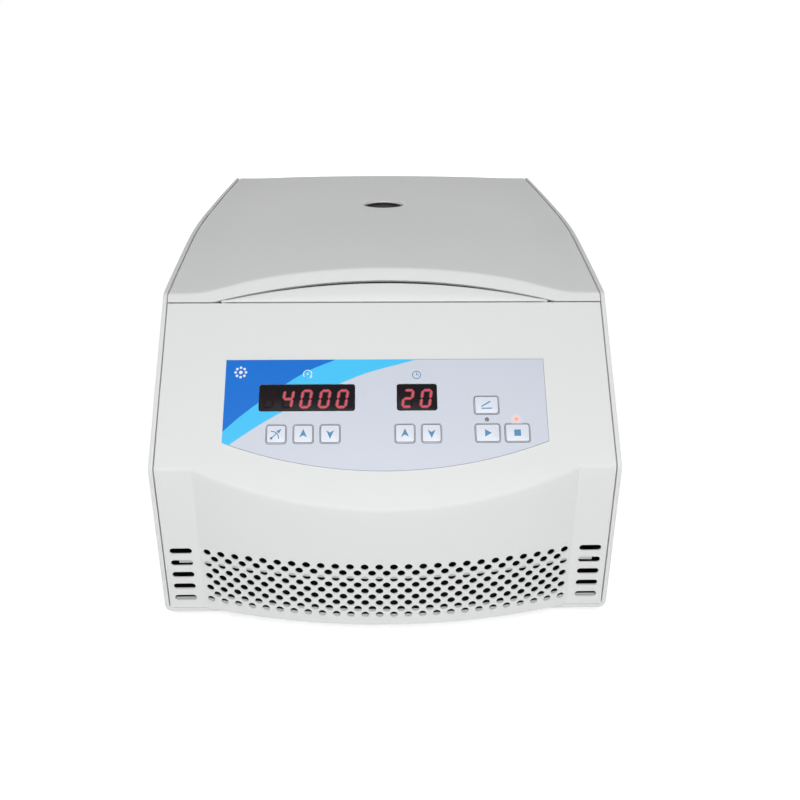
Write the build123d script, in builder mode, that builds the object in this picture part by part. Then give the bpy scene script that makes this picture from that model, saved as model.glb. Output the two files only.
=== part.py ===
from build123d import *
from math import cos, radians, sin, tan
import os

# Bench centrifuge for butterfat tubes: a sleeve-like cabinet whose sides run up past the lid,
# a bulged front moulding with a perforated grille, a sloping control panel, a crowned lid hinged
# at the back, and an eight-place angle rotor hanging in a steel chamber.
#
# Lengths are millimetres. "depth" runs back from the flat lower front, "height" runs up from
# the underside of the cabinet, and "run" runs up the control slope from the front crease.

# ---- Driving dimensions ----
cabinet_width = 320.0
cabinet_depth = 487.0
wall = 3.0                    # sheet and moulding thickness
foot_height = 10.0
crease_height = 118.0         # the front turns back into the control slope here
slope_angle = 43.0            # of the control slope, from level
seam_run = 125.3              # up the slope, from the crease to the joint with the lid
seam_gap = 1.1
side_gap = 1.5                # between the cabinet sides and what sits between them
bulge_half_width = 131.0
bulge_depth = 21.5
hole_diameter = 4.8
hole_pitch = 10.05
hole_row_gap = 5.0
hole_rows = 9
flat_width = hole_pitch / 2   # the holes' columns lie half a pitch apart
lowest_row_height = 12.4
rotor_axis_depth = 287.0
chamber_radius = 140.0
chamber_sides = 24            # round forms are many-sided, to keep their faces few
deck_height = 198.0           # top face of the deck
lid_base_height = 200.0       # underside of the lid's side skirts
hinge_depth = 490.0
hinge_height = 172.0
knuckle_radius = 5.0
sleeve_count = 8
sleeve_tilt = 40.0            # of a tube sleeve, below level
sleeve_length = 95.0

# ---- Values worked out from them ----
rear_reach = hinge_depth + knuckle_radius
front_y = (bulge_depth - rear_reach) / 2
half_width = cabinet_width / 2
inner_half = half_width - wall
insert_half = inner_half - side_gap
axis_y = front_y + rotor_axis_depth
slope_sin = sin(radians(slope_angle))
slope_cos = cos(radians(slope_angle))
slope_tan = tan(radians(slope_angle))

# The lid's edge line in side view, as (depth, height), and how far the middle stands above it.
lid_edge_line = (
    (80.0, 206.8), (115.0, 210.6), (150.0, 214.1), (190.0, 217.7), (230.0, 219.8),
    (270.0, 219.1), (340.0, 215.4), (413.0, 210.9), (487.0, 206.0),
)
front_crown = 12.6
front_crown_depth = 112.0
crown_loss = 10.0 / 375.0     # per millimetre of depth
# Half of the lid's arch, as (share of half width, share of the crown): flat along its middle,
# where the window is, and down to a flat flange at the sides.
arch_shape = (
    (1.0, 0.0), (0.92, 0.005), (0.84, 0.045), (0.76, 0.2), (0.63, 0.48),
    (0.48, 0.71), (0.31, 0.88), (0.12, 1.0),
)

slope_plane = Plane(
    origin=(0, front_y, foot_height + crease_height),
    x_dir=(1, 0, 0),
    z_dir=(0, -slope_sin, slope_cos),
)


def side_point(depth, height):
    """A point of the side view, in the axes of Plane.YZ."""
    return (front_y + depth, foot_height + height)


def level_plane(height):
    return Plane.XY.offset(foot_height + height)


def upright_plane(depth):
    """Faces the front, with X across and Z up."""
    return Plane(origin=(0, front_y + depth, foot_height), x_dir=(1, 0, 0), z_dir=(0, -1, 0))


def rear_plane(depth):
    """Faces the rear, with local x towards -X and local y up from the cabinet's underside."""
    return Plane(origin=(0, front_y + depth, foot_height), x_dir=(-1, 0, 0), z_dir=(0, 1, 0))


def slope_height(depth, inset=0.0):
    """Height of the control slope at a depth, drawn in from its outer skin by inset."""
    return crease_height + depth * slope_tan - inset / slope_cos


def lid_crown(depth):
    return front_crown - (depth - front_crown_depth) * crown_loss


def bowed_line(half, foot, middle, spans=16):
    """Points of a flat arc from (half, foot) by way of (0, middle) to (-half, foot)."""
    rise = middle - foot
    radius = (half**2 + rise**2) / (2 * rise)
    across = [half - 2 * half * span / spans for span in range(spans + 1)]
    return [(x, middle - radius * (1 - (1 - (x / radius) ** 2) ** 0.5)) for x in across]


os.makedirs("parts", exist_ok=True)

# ==== Cabinet ====

corner_radius = 6.0
edge_bevel = 1.2
tall = 260.0                  # taller than anything it is cut down to

with BuildPart() as cabinet_shell:
    with BuildSketch(upright_plane(0)):
        with Locations((0, tall / 2)):
            outer = Rectangle(cabinet_width, tall)
        fillet(outer.vertices().group_by(Axis.Z)[0], corner_radius)
    extrude(amount=-cabinet_depth)
    with BuildSketch(upright_plane(0)):
        with Locations((0, tall / 2 + wall)):
            inner = Rectangle(2 * inner_half, tall)
        fillet(inner.vertices().group_by(Axis.Z)[0], corner_radius - wall)
    extrude(amount=-cabinet_depth, mode=Mode.SUBTRACT)
    with BuildSketch(Plane.YZ):
        with BuildLine():
            Polyline(
                side_point(0, -1),
                side_point(0, crease_height),
                side_point(cabinet_depth, slope_height(cabinet_depth)),
                side_point(cabinet_depth, -1),
                close=True,
            )
        make_face()
    extrude(amount=half_width, both=True, mode=Mode.INTERSECT)
    with BuildSketch(Plane.YZ):
        with BuildLine():
            Polyline(
                *[side_point(*point) for point in lid_edge_line],
                side_point(cabinet_depth, -1),
                side_point(-1, -1),
                side_point(-1, lid_edge_line[0][1]),
                close=True,
            )
        make_face()
    extrude(amount=half_width, both=True, mode=Mode.INTERSECT)
    bevelled = [
        item
        for face in (cabinet_shell.faces().sort_by(Axis.X)[0], cabinet_shell.faces().sort_by(Axis.X)[-1])
        for item in face.edges()
        if item.center().Z > foot_height + corner_radius and item.center().Y < front_y + cabinet_depth - 1
    ]
    chamfer(bevelled, edge_bevel)
cabinet_shell.part.label = "cabinet_shell"
export_step(cabinet_shell.part, "parts/cabinet_shell.step")

panel_depth = 479.0           # front face of the rear panel
panel_thickness = 2.0
rear_face_depth = panel_depth + panel_thickness
deck_underside = deck_height - wall
inlet_x, inlet_height = -108.0, 42.0
inlet_width, inlet_tall = 28.0, 20.0
switch_x, switch_height = -62.0, 42.0
switch_width, switch_tall = 13.0, 28.0
fuse_x, fuse_radius, fuse_sides = -28.0, 6.5, 10
vent_width, vent_tall, vent_pitch, vent_count = 5.0, 46.0, 13.0, 8

with BuildPart() as rear_panel:
    with BuildSketch(rear_plane(panel_depth)):
        with Locations((0, (wall + deck_underside) / 2)):
            Rectangle(2 * inner_half, deck_underside - wall)
        with Locations((-inlet_x, inlet_height)):
            Rectangle(inlet_width, inlet_tall, mode=Mode.SUBTRACT)
        with Locations((-switch_x, switch_height)):
            Rectangle(switch_width, switch_tall, mode=Mode.SUBTRACT)
        with Locations((-fuse_x, inlet_height)):
            RegularPolygon(fuse_radius, fuse_sides, mode=Mode.SUBTRACT)
        with Locations((-70, 50)):
            with GridLocations(vent_pitch, 1, vent_count, 1):
                Rectangle(vent_width, vent_tall, mode=Mode.SUBTRACT)
    extrude(amount=panel_thickness)
    chamfer(rear_panel.edges().filter_by(Axis.Y).group_by(Axis.Z)[0], corner_radius - wall)
rear_panel.part.label = "rear_panel"
export_step(rear_panel.part, "parts/rear_panel.step")

# ==== Front moulding ====

fascia_floor = wall + 0.5     # a fine joint shows below it
return_depth = 13.0           # how far its edges turn inwards
cut_clear = 40.0              # longer than any wall a cutter has to pass

# Keys, as name: (x, run, width, height) on the control slope.
small_key, wide_key = (14.0, 13.8), (17.4, 13.7)
key_row, top_key_row = 24.6, 45.0
keys = {
    "key_force": (-74.8, key_row, *small_key),
    "key_speed_up": (-56.4, key_row, *small_key),
    "key_speed_down": (-38.1, key_row, *small_key),
    "key_time_up": (13.0, key_row, *small_key),
    "key_time_down": (31.2, key_row, *small_key),
    "key_open": (69.7, top_key_row, *wide_key),
    "key_start": (69.7, key_row, *wide_key),
    "key_stop": (90.1, key_row, *wide_key),
}
key_clearance = 0.3
lamps = {"start_lamp": (69.6, 34.5), "stop_lamp": (89.9, 34.5)}
lamp_radius, lamp_sides = 1.4, 8
# Display modules, as name: (x, run, width, height).
displays = {
    "speed_display": (-54.4, 51.3, 66.0, 19.6),
    "time_display": (21.7, 51.3, 27.6, 19.5),
}
display_clearance = 0.2
overlay_thickness = 0.5
board_drop = 12.0             # from the slope's skin to the face of the display board
board_thickness = 1.6
boss_radius = 3.5
boss_spots = ((-100, 12), (100, 12), (-100, 70), (100, 70))


def bulge_front(x, inset=0.0):
    """How far the bulge's face stands ahead of the flats, at x."""
    radius = (bulge_half_width**2 + bulge_depth**2) / (2 * bulge_depth)
    return ((radius - inset) ** 2 - x**2) ** 0.5 - (radius - bulge_depth)


def fascia_form(inset):
    """The closed form behind the front's skin, drawn in by inset.

    The bulge is a run of narrow flats, one to each column of holes, so that every hole goes
    through a flat: they leave the true arc by 0.01 mm.
    """
    half = insert_half - inset
    back = front_y + seam_run
    columns = int(bulge_half_width / flat_width - 0.5)
    joints = [(column + 0.5) * flat_width for column in range(-columns - 1, columns + 1)]
    face = [(x, front_y - bulge_front(x, inset)) for x in joints]
    with BuildPart() as form:
        with BuildSketch(Plane.XY.offset(foot_height + fascia_floor + inset)):
            with BuildLine():
                flat = front_y + inset
                Polyline(
                    (-half, back), (-half, flat), (-bulge_half_width, flat), *face,
                    (bulge_half_width, flat), (half, flat), (half, back),
                    close=True,
                )
            make_face()
        extrude(amount=tall)
        with BuildSketch(Plane.YZ):
            with BuildLine():
                Polyline(
                    side_point(-cut_clear, 0),
                    side_point(-cut_clear, slope_height(-cut_clear, inset)),
                    side_point(seam_run, slope_height(seam_run, inset)),
                    side_point(seam_run, 0),
                    close=True,
                )
            make_face()
        extrude(amount=half_width, both=True, mode=Mode.INTERSECT)
    return form.part


grille_centres = [
    ((column - (count - 1) / 2) * hole_pitch, lowest_row_height + row * hole_row_gap)
    for row in range(hole_rows)
    for count in [26 - row % 2]
    for column in range(count)
]
slot_centres = [
    (side * 144.2, lowest_row_height + row * hole_row_gap)
    for side in (-1, 1)
    for row in range(0, hole_rows, 2)
]
slot_length, slot_tall = 15.3, 4.2
# The small holes are square, at the round hole's area, to keep the faces few.
hole_side = hole_diameter * 0.886

with BuildPart() as front_fascia:
    add(fascia_form(0))
    add(fascia_form(wall), mode=Mode.SUBTRACT)
    with BuildSketch(Plane.YZ):
        with BuildLine():
            Polyline(
                side_point(return_depth, -1),
                side_point(return_depth, slope_height(return_depth, return_depth)),
                side_point(seam_run, slope_height(seam_run, return_depth)),
                side_point(seam_run, -1),
                close=True,
            )
        make_face()
    extrude(amount=half_width, both=True, mode=Mode.SUBTRACT)
    with BuildSketch(slope_plane):
        with Locations((0, seam_run - seam_gap / 2)):
            Rectangle(cabinet_width, tall, align=(Align.CENTER, Align.MIN))
    extrude(amount=cut_clear, both=True, mode=Mode.SUBTRACT)
    with BuildSketch(slope_plane.offset(-wall)):
        with Locations(*boss_spots):
            Rectangle(2 * boss_radius, 2 * boss_radius)
    extrude(amount=wall - board_drop)
    # Two lugs carry the moulding on the cabinet's bottom.
    with BuildSketch(level_plane(wall)):
        with Locations((-120, front_y + 8), (120, front_y + 8)):
            Rectangle(24, 8)
    extrude(amount=wall)
    with BuildSketch(slope_plane):
        for x, run, width, height in keys.values():
            with Locations((x, run)):
                Rectangle(width + 2 * key_clearance, height + 2 * key_clearance)
        for x, run, width, height in displays.values():
            with Locations((x, run)):
                Rectangle(width + 2 * display_clearance, height + 2 * display_clearance)
        with Locations(*lamps.values()):
            RegularPolygon(lamp_radius + 0.1, lamp_sides)
    extrude(amount=-wall - 1, mode=Mode.SUBTRACT)
    with BuildSketch(upright_plane(-bulge_depth - 1)):
        with Locations(*grille_centres):
            Rectangle(hole_side, hole_side)
        with Locations(*slot_centres):
            Rectangle(slot_length, slot_tall)
    extrude(amount=-bulge_depth - wall - 3, mode=Mode.SUBTRACT)
front_fascia.part.label = "front_fascia"
export_step(front_fascia.part, "parts/front_fascia.step")

overlay_half, overlay_top, overlay_side_foot, overlay_low = 111.5, 80.0, 18.5, -2.1

with BuildPart() as panel_overlay:
    with BuildSketch(slope_plane):
        with BuildLine():
            Polyline(
                (-overlay_half, overlay_top), (overlay_half, overlay_top),
                *bowed_line(overlay_half, overlay_side_foot, overlay_low),
                close=True,
            )
        make_face()
        for x, run, width, height in keys.values():
            with Locations((x, run)):
                Rectangle(
                    width + 2 * key_clearance, height + 2 * key_clearance, mode=Mode.SUBTRACT
                )
        for x, run, width, height in displays.values():
            with Locations((x, run)):
                Rectangle(
                    width + 2 * display_clearance, height + 2 * display_clearance,
                    mode=Mode.SUBTRACT,
                )
        with Locations(*lamps.values()):
            RegularPolygon(lamp_radius + 0.1, lamp_sides, mode=Mode.SUBTRACT)
    extrude(amount=overlay_thickness)
panel_overlay.part.label = "panel_overlay"
export_step(panel_overlay.part, "parts/panel_overlay.step")

for name, (x, run, width, height) in displays.items():
    with BuildPart() as display:
        with BuildSketch(slope_plane.offset(-board_drop)):
            with Locations((x, run)):
                Rectangle(width, height)
        extrude(amount=board_drop + overlay_thickness - 0.1)
    display.part.label = name
    export_step(display.part, f"parts/{name}.step")

for name, (x, run) in lamps.items():
    with BuildPart() as lamp:
        with BuildSketch(slope_plane.offset(-board_drop)):
            with Locations((x, run)):
                RegularPolygon(lamp_radius, lamp_sides)
        extrude(amount=board_drop + overlay_thickness + 0.4)
    lamp.part.label = name
    export_step(lamp.part, f"parts/{name}.step")

switch_size, switch_tall_body = 6.0, 4.5
key_travel = 0.4
key_proud = 0.45
key_flange, key_flange_thickness = 0.9, 1.0
stem_size = 3.5

with BuildPart() as display_board:
    with BuildSketch(slope_plane.offset(-board_drop - board_thickness)):
        with Locations((0, 41)):
            Rectangle(216, 74)
    extrude(amount=board_thickness)
display_board.part.label = "display_board"
export_step(display_board.part, "parts/display_board.step")

with BuildPart() as key_switches:
    with BuildSketch(slope_plane.offset(-board_drop)):
        with Locations(*[(x, run) for x, run, width, height in keys.values()]):
            Rectangle(switch_size, switch_size)
    extrude(amount=switch_tall_body)
key_switches.part.label = "key_switches"
export_step(key_switches.part, "parts/key_switches.step")

for name, (x, run, width, height) in keys.items():
    with BuildPart() as key:
        with BuildSketch(slope_plane.offset(-wall - key_travel)):
            with Locations((x, run)):
                Rectangle(width, height)
        extrude(amount=wall + key_travel + overlay_thickness + key_proud)
        with BuildSketch(slope_plane.offset(-wall - 0.05)):
            with Locations((x, run)):
                Rectangle(width + 2 * key_flange, height + 2 * key_flange)
        extrude(amount=-key_flange_thickness)
        with BuildSketch(slope_plane.offset(-wall)):
            with Locations((x, run)):
                Rectangle(stem_size, stem_size)
        extrude(amount=-(board_drop - switch_tall_body - wall - key_travel - 0.1))
    key.part.label = name
    export_step(key.part, f"parts/{name}.step")

# ==== Deck and chamber ====

deck_front_depth = 92.0
deck_step_depth = 108.0       # ahead of it the deck is narrower, inside the front moulding's returns
deck_front_half = 150.0
brow_gap = 2.0                # between the brow and the lid's arch
brow_half, brow_foot_run, brow_top_run = 121.0, 125.9, 141.2
arch_half, arch_foot_run = 123.5, seam_run + seam_gap
arch_top_run = brow_top_run + brow_gap
chamber_floor = 74.0
chamber_wall = 1.5
chamber_corner = 14.0
rim_width = 9.0
collar_radius = 24.0
collar_rise = 6.0
collar_sides = 12
striker_depth = 129.5
striker_length, striker_thickness = 14.0, 3.0


def arch_face(half, foot, top, draw_in=0.0):
    """The lens between the lid's joint and its arch, drawn in from the arch."""
    with BuildSketch() as lens:
        with BuildLine():
            Polyline(
                *bowed_line(half - 4 * draw_in, foot + draw_in / 2, top - draw_in), close=True
            )
        make_face()
    return lens.sketch


with BuildPart() as top_deck:
    with BuildSketch(level_plane(deck_underside)):
        for half, front_depth in ((deck_front_half, deck_front_depth), (inner_half, deck_step_depth)):
            with Locations((0, front_y + front_depth)):
                Rectangle(2 * half, rear_face_depth - front_depth, align=(Align.CENTER, Align.MIN))
    extrude(amount=wall)
    # The brow fills the lid's arch, flush with the control slope.
    with BuildSketch(slope_plane):
        add(arch_face(brow_half, brow_foot_run, brow_top_run))
    extrude(amount=-26)
    with BuildSketch(slope_plane.offset(-wall)):
        add(arch_face(brow_half, brow_foot_run, brow_top_run, wall))
    extrude(amount=-26, mode=Mode.SUBTRACT)
    with BuildSketch(level_plane(deck_underside)):
        with Locations((0, axis_y)):
            Rectangle(2 * cabinet_width, 2 * cabinet_depth)
    extrude(amount=-tall, mode=Mode.SUBTRACT)
    with BuildSketch(level_plane(deck_underside)):
        with Locations((0, axis_y)):
            RegularPolygon(chamber_radius, chamber_sides)
        with Locations((0, front_y + striker_depth)):
            Rectangle(striker_thickness + 5, striker_length + 5)
    extrude(amount=wall, mode=Mode.SUBTRACT)
top_deck.part.label = "top_deck"
export_step(top_deck.part, "parts/top_deck.step")

with BuildPart() as chamber_bowl:
    with BuildSketch(level_plane(chamber_floor - chamber_wall)):
        with Locations((0, axis_y)):
            RegularPolygon(chamber_radius + chamber_wall, chamber_sides)
    extrude(amount=deck_underside - chamber_floor + chamber_wall)
    chamfer(chamber_bowl.faces().sort_by(Axis.Z)[0].edges(), chamber_corner)
    offset(amount=-chamber_wall, openings=chamber_bowl.faces().sort_by(Axis.Z)[-1])
    with BuildSketch(level_plane(deck_underside)):
        with Locations((0, axis_y)):
            RegularPolygon(chamber_radius + rim_width, chamber_sides)
            RegularPolygon(chamber_radius, chamber_sides, mode=Mode.SUBTRACT)
    extrude(amount=-chamber_wall)
    with BuildSketch(level_plane(chamber_floor)):
        with Locations((0, axis_y)):
            RegularPolygon(collar_radius, collar_sides)
    extrude(amount=collar_rise)
    with BuildSketch(level_plane(chamber_floor)):
        with Locations((0, axis_y)):
            RegularPolygon(collar_radius - chamber_wall, collar_sides)
    extrude(amount=2 * collar_rise, both=True, mode=Mode.SUBTRACT)
chamber_bowl.part.label = "chamber_bowl"
export_step(chamber_bowl.part, "parts/chamber_bowl.step")

gasket_inner, gasket_outer, gasket_height = 142.5, 148.5, 2.6

with BuildPart() as chamber_gasket:
    with BuildSketch(level_plane(deck_height)):
        with Locations((0, axis_y)):
            RegularPolygon(gasket_outer, chamber_sides)
            RegularPolygon(gasket_inner, chamber_sides, mode=Mode.SUBTRACT)
    extrude(amount=gasket_height)
chamber_gasket.part.label = "chamber_gasket"
export_step(chamber_gasket.part, "parts/chamber_gasket.step")

# ==== Lid ====

window_radius, window_sides = 16.5, 20
window_thickness = 3.0
window_recess = 3.2           # the glass sits this far down its well
window_ledge = 1.5
liner_base = 201.0
liner_thickness = 1.5
lid_wall = 2.5
liner_front_depth = 122.0
skirt_depth = 486.0           # rear face of the lid's rear skirt
skirt_foot = 179.0


def lid_form(inset, back, base):
    """The lid's crowned form, drawn in from its skin by inset, from its front to a back depth."""
    half = insert_half - inset
    with BuildPart() as form:
        for depth, height in lid_edge_line:
            rise = lid_crown(depth)
            top = height - inset
            right = [(share * half, top + lift * rise) for share, lift in arch_shape]
            left = [(-x, z) for x, z in reversed(right)]
            with BuildSketch(upright_plane(depth)):
                with BuildLine():
                    Polyline(*right, *left, (-half, base), (half, base), close=True)
                make_face()
        loft(ruled=True)
        with BuildSketch(Plane.YZ):
            with BuildLine():
                Polyline(
                    side_point(-1, slope_height(-1, inset)),
                    side_point(back, slope_height(back, inset)),
                    side_point(back, -1),
                    side_point(-1, -1),
                    close=True,
                )
            make_face()
        extrude(amount=half_width, both=True, mode=Mode.INTERSECT)
    return form.part


with BuildPart() as lid_shell:
    add(lid_form(0, skirt_depth, skirt_foot))
    add(lid_form(lid_wall, skirt_depth - lid_wall, skirt_foot - 1), mode=Mode.SUBTRACT)
    # Ahead of its rear skirt the lid ends just above the deck.
    with BuildSketch(Plane.YZ):
        with BuildLine():
            Polyline(
                side_point(0, 0),
                side_point(0, lid_base_height),
                side_point(skirt_depth - lid_wall, lid_base_height),
                side_point(skirt_depth - lid_wall, 0),
                close=True,
            )
        make_face()
    extrude(amount=half_width, both=True, mode=Mode.SUBTRACT)
    # The front band: a straight lower edge at the joint, and the arch over the brow.
    with BuildSketch(slope_plane):
        with Locations((0, arch_foot_run)):
            Rectangle(cabinet_width, tall, align=(Align.CENTER, Align.MAX))
        add(arch_face(arch_half, arch_foot_run, arch_top_run))
    extrude(amount=-2 * wall, mode=Mode.SUBTRACT)
    # A tube reaches down from the viewing window to the liner.
    window_top = 226.0
    with BuildSketch(level_plane(liner_base + liner_thickness)):
        with Locations((0, axis_y)):
            RegularPolygon(window_radius + wall, window_sides)
    extrude(amount=window_top - liner_base - liner_thickness - 1)
    with BuildSketch(level_plane(liner_base)):
        with Locations((0, axis_y)):
            RegularPolygon(window_radius - window_ledge, window_sides)
    extrude(amount=tall, mode=Mode.SUBTRACT)
    with BuildSketch(level_plane(window_top - window_thickness - window_recess)):
        with Locations((0, axis_y)):
            RegularPolygon(window_radius, window_sides)
    extrude(amount=tall, mode=Mode.SUBTRACT)
lid_shell.part.label = "lid_shell"
export_step(lid_shell.part, "parts/lid_shell.step")

with BuildPart() as lid_liner:
    liner_half = insert_half - lid_wall
    with BuildSketch(level_plane(liner_base)):
        with Locations((0, front_y + liner_front_depth)):
            Rectangle(
                2 * liner_half, skirt_depth - lid_wall - liner_front_depth,
                align=(Align.CENTER, Align.MIN),
            )
        with Locations((0, axis_y)):
            RegularPolygon(window_radius + wall, window_sides, mode=Mode.SUBTRACT)
    extrude(amount=liner_thickness)
lid_liner.part.label = "lid_liner"
export_step(lid_liner.part, "parts/lid_liner.step")

with BuildPart() as lid_window:
    with BuildSketch(level_plane(window_top - window_thickness - window_recess)):
        with Locations((0, axis_y)):
            RegularPolygon(window_radius, window_sides)
    extrude(amount=window_thickness)
lid_window.part.label = "lid_window"
export_step(lid_window.part, "parts/lid_window.step")

bolt_radius, bolt_sides = 4.0, 10
bolt_height = 180.0
striker_foot = 172.0
striker_window = 9.0          # the bolt goes through it

with BuildPart() as lid_striker:
    with BuildSketch(level_plane(liner_base - liner_thickness)):
        with Locations((0, front_y + striker_depth)):
            Rectangle(24, striker_length)
    extrude(amount=liner_thickness)
    with BuildSketch(Plane.YZ.offset(-striker_thickness / 2)):
        with Locations(side_point(striker_depth, (striker_foot + liner_base) / 2)):
            Rectangle(striker_length, liner_base - striker_foot)
        with Locations(side_point(striker_depth, bolt_height)):
            Rectangle(striker_window, striker_window, mode=Mode.SUBTRACT)
    extrude(amount=striker_thickness)
    chamfer(lid_striker.edges().filter_by(Axis.X).group_by(Axis.Z)[0], 2.5)
lid_striker.part.label = "lid_striker"
export_step(lid_striker.part, "parts/lid_striker.step")

# ==== Hinges ====

hinge_spots = {"left": -105.0, "right": 105.0}
hinge_width = 48.0
middle_knuckle = 18.0
knuckle_gap = 0.4
pin_radius, pin_sides = 2.0, 8
pin_clearance = 0.05
leaf_thickness = 2.0
leaf_top = 196.0
bracket_foot = 140.0
bracket_top = 165.0

for side, x in hinge_spots.items():
    with BuildPart() as hinge_leaf:
        with BuildSketch(Plane.YZ.offset(x - hinge_width / 2)):
            with BuildLine():
                Polyline(
                    side_point(skirt_depth, skirt_foot + 2),
                    side_point(skirt_depth, leaf_top),
                    side_point(skirt_depth + leaf_thickness, leaf_top),
                    side_point(skirt_depth + leaf_thickness, skirt_foot + 2),
                    close=True,
                )
            make_face()
        extrude(amount=hinge_width)
        with BuildSketch(Plane.YZ.offset(x - middle_knuckle / 2)):
            with BuildLine():
                Polyline(
                    side_point(skirt_depth, skirt_foot + 2),
                    side_point(skirt_depth + leaf_thickness, skirt_foot + 2),
                    side_point(hinge_depth + 2, hinge_height + 4),
                    side_point(hinge_depth - 3.5, hinge_height + 3),
                    close=True,
                )
            make_face()
            with Locations(side_point(hinge_depth, hinge_height)):
                RegularPolygon(knuckle_radius, pin_sides)
                RegularPolygon(
                    pin_radius + pin_clearance, pin_sides, major_radius=False, mode=Mode.SUBTRACT
                )
        extrude(amount=middle_knuckle)
    hinge_leaf.part.label = f"hinge_leaf_{side}"
    export_step(hinge_leaf.part, f"parts/hinge_leaf_{side}.step")

    with BuildPart() as hinge_bracket:
        with BuildSketch(Plane.YZ.offset(x - hinge_width / 2)):
            with BuildLine():
                Polyline(
                    side_point(rear_face_depth, bracket_foot),
                    side_point(rear_face_depth + 3, bracket_foot),
                    side_point(hinge_depth + 3.5, bracket_top - 4),
                    side_point(hinge_depth + 4.6, hinge_height - 2),
                    side_point(hinge_depth - 3.5, hinge_height + 3.5),
                    side_point(rear_face_depth, bracket_top),
                    close=True,
                )
            make_face()
            with Locations(side_point(hinge_depth, hinge_height)):
                RegularPolygon(knuckle_radius, pin_sides)
                RegularPolygon(pin_radius, pin_sides, major_radius=False, mode=Mode.SUBTRACT)
        extrude(amount=hinge_width)
        # Room for the lid's knuckle in the middle.
        with BuildSketch(Plane.YZ.offset(x - middle_knuckle / 2 - knuckle_gap)):
            with Locations(side_point(hinge_depth, hinge_height)):
                RegularPolygon(knuckle_radius + 1, pin_sides)
            with Locations(side_point(hinge_depth, bracket_top)):
                Rectangle(
                    4 * knuckle_radius, tall, align=(Align.CENTER, Align.MIN),
                )
        extrude(amount=middle_knuckle + 2 * knuckle_gap, mode=Mode.SUBTRACT)
    hinge_bracket.part.label = f"hinge_bracket_{side}"
    export_step(hinge_bracket.part, f"parts/hinge_bracket_{side}.step")

with BuildPart() as hinge_pins:
    for x in hinge_spots.values():
        with BuildSketch(Plane.YZ.offset(x - hinge_width / 2 - 1)):
            with Locations(side_point(hinge_depth, hinge_height)):
                Circle(pin_radius)
        extrude(amount=hinge_width + 2)
hinge_pins.part.label = "hinge_pins"
export_step(hinge_pins.part, "parts/hinge_pins.step")

# ==== Lid lock ====

solenoid_near, solenoid_far = 22.0, 54.0
solenoid_front, solenoid_rear = 118.5, 136.5
solenoid_foot, solenoid_top = 169.0, 191.0
bolt_tip = 6.0
bolt_travel = 14.0
bracket_sheet = 2.0

with BuildPart() as lock_bracket:
    with BuildSketch(upright_plane(solenoid_front - bracket_sheet)):
        with Locations(((solenoid_near + solenoid_far) / 2, solenoid_foot)):
            Rectangle(
                solenoid_far - solenoid_near, deck_underside - solenoid_foot,
                align=(Align.CENTER, Align.MIN),
            )
    extrude(amount=-bracket_sheet)
    with BuildSketch(level_plane(deck_underside)):
        with Locations(((solenoid_near + solenoid_far) / 2, front_y + solenoid_front)):
            Rectangle(solenoid_far - solenoid_near, 14, align=(Align.CENTER, Align.MIN))
    extrude(amount=-bracket_sheet)
lock_bracket.part.label = "lock_bracket"
export_step(lock_bracket.part, "parts/lock_bracket.step")

with BuildPart() as lock_solenoid:
    with BuildSketch(Plane.YZ.offset(solenoid_near)):
        with Locations(
            side_point((solenoid_front + solenoid_rear) / 2, (solenoid_foot + solenoid_top) / 2)
        ):
            Rectangle(solenoid_rear - solenoid_front, solenoid_top - solenoid_foot)
        with Locations(side_point(striker_depth, bolt_height)):
            RegularPolygon(bolt_radius + pin_clearance, bolt_sides, mode=Mode.SUBTRACT)
    extrude(amount=solenoid_far - solenoid_near)
lock_solenoid.part.label = "lock_solenoid"
export_step(lock_solenoid.part, "parts/lock_solenoid.step")

with BuildPart() as lock_bolt:
    with BuildSketch(Plane.YZ.offset(bolt_tip)):
        with Locations(side_point(striker_depth, bolt_height)):
            RegularPolygon(bolt_radius, bolt_sides)
    extrude(amount=solenoid_far + 4 + bolt_travel - bolt_tip)
    chamfer(lock_bolt.faces().sort_by(Axis.X)[0].edges(), 1.5)
lock_bolt.part.label = "lock_bolt"
export_step(lock_bolt.part, "parts/lock_bolt.step")

# ==== Drive ====

motor_radius, motor_foot, motor_top = 48.0, 6.0, 61.0
motor_sides, shaft_sides = 16, 12
motor_boss_radius, motor_boss_top = 20.0, 67.0
shaft_radius = 6.0
stud_radius = 4.0
hub_foot, hub_top = 94.0, 150.0
plate_half, plate_thickness = 76.0, 3.0
damper_spread, damper_radius, post_radius, post_top = 124.0, 10.0, 8.0, 38.0

with BuildPart() as motor_body:
    with BuildSketch(level_plane(motor_foot)):
        with Locations((0, axis_y)):
            RegularPolygon(motor_radius, motor_sides)
    extrude(amount=motor_top - motor_foot)
    with BuildSketch(level_plane(motor_top)):
        with Locations((0, axis_y)):
            RegularPolygon(motor_boss_radius, motor_sides)
    extrude(amount=motor_boss_top - motor_top)
    with BuildSketch(level_plane(motor_boss_top)):
        with Locations((0, axis_y)):
            RegularPolygon(shaft_radius + pin_clearance, shaft_sides, major_radius=False)
    extrude(amount=motor_foot + 8 - motor_boss_top, mode=Mode.SUBTRACT)
motor_body.part.label = "motor_body"
export_step(motor_body.part, "parts/motor_body.step")

with BuildPart() as motor_plate:
    with BuildSketch(level_plane(motor_top)):
        with Locations((0, axis_y)):
            plate = Rectangle(2 * plate_half, 2 * plate_half)
            chamfer(plate.vertices(), 12)
            RegularPolygon(motor_boss_radius, motor_sides, mode=Mode.SUBTRACT)
    extrude(amount=plate_thickness)
motor_plate.part.label = "motor_plate"
export_step(motor_plate.part, "parts/motor_plate.step")

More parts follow.
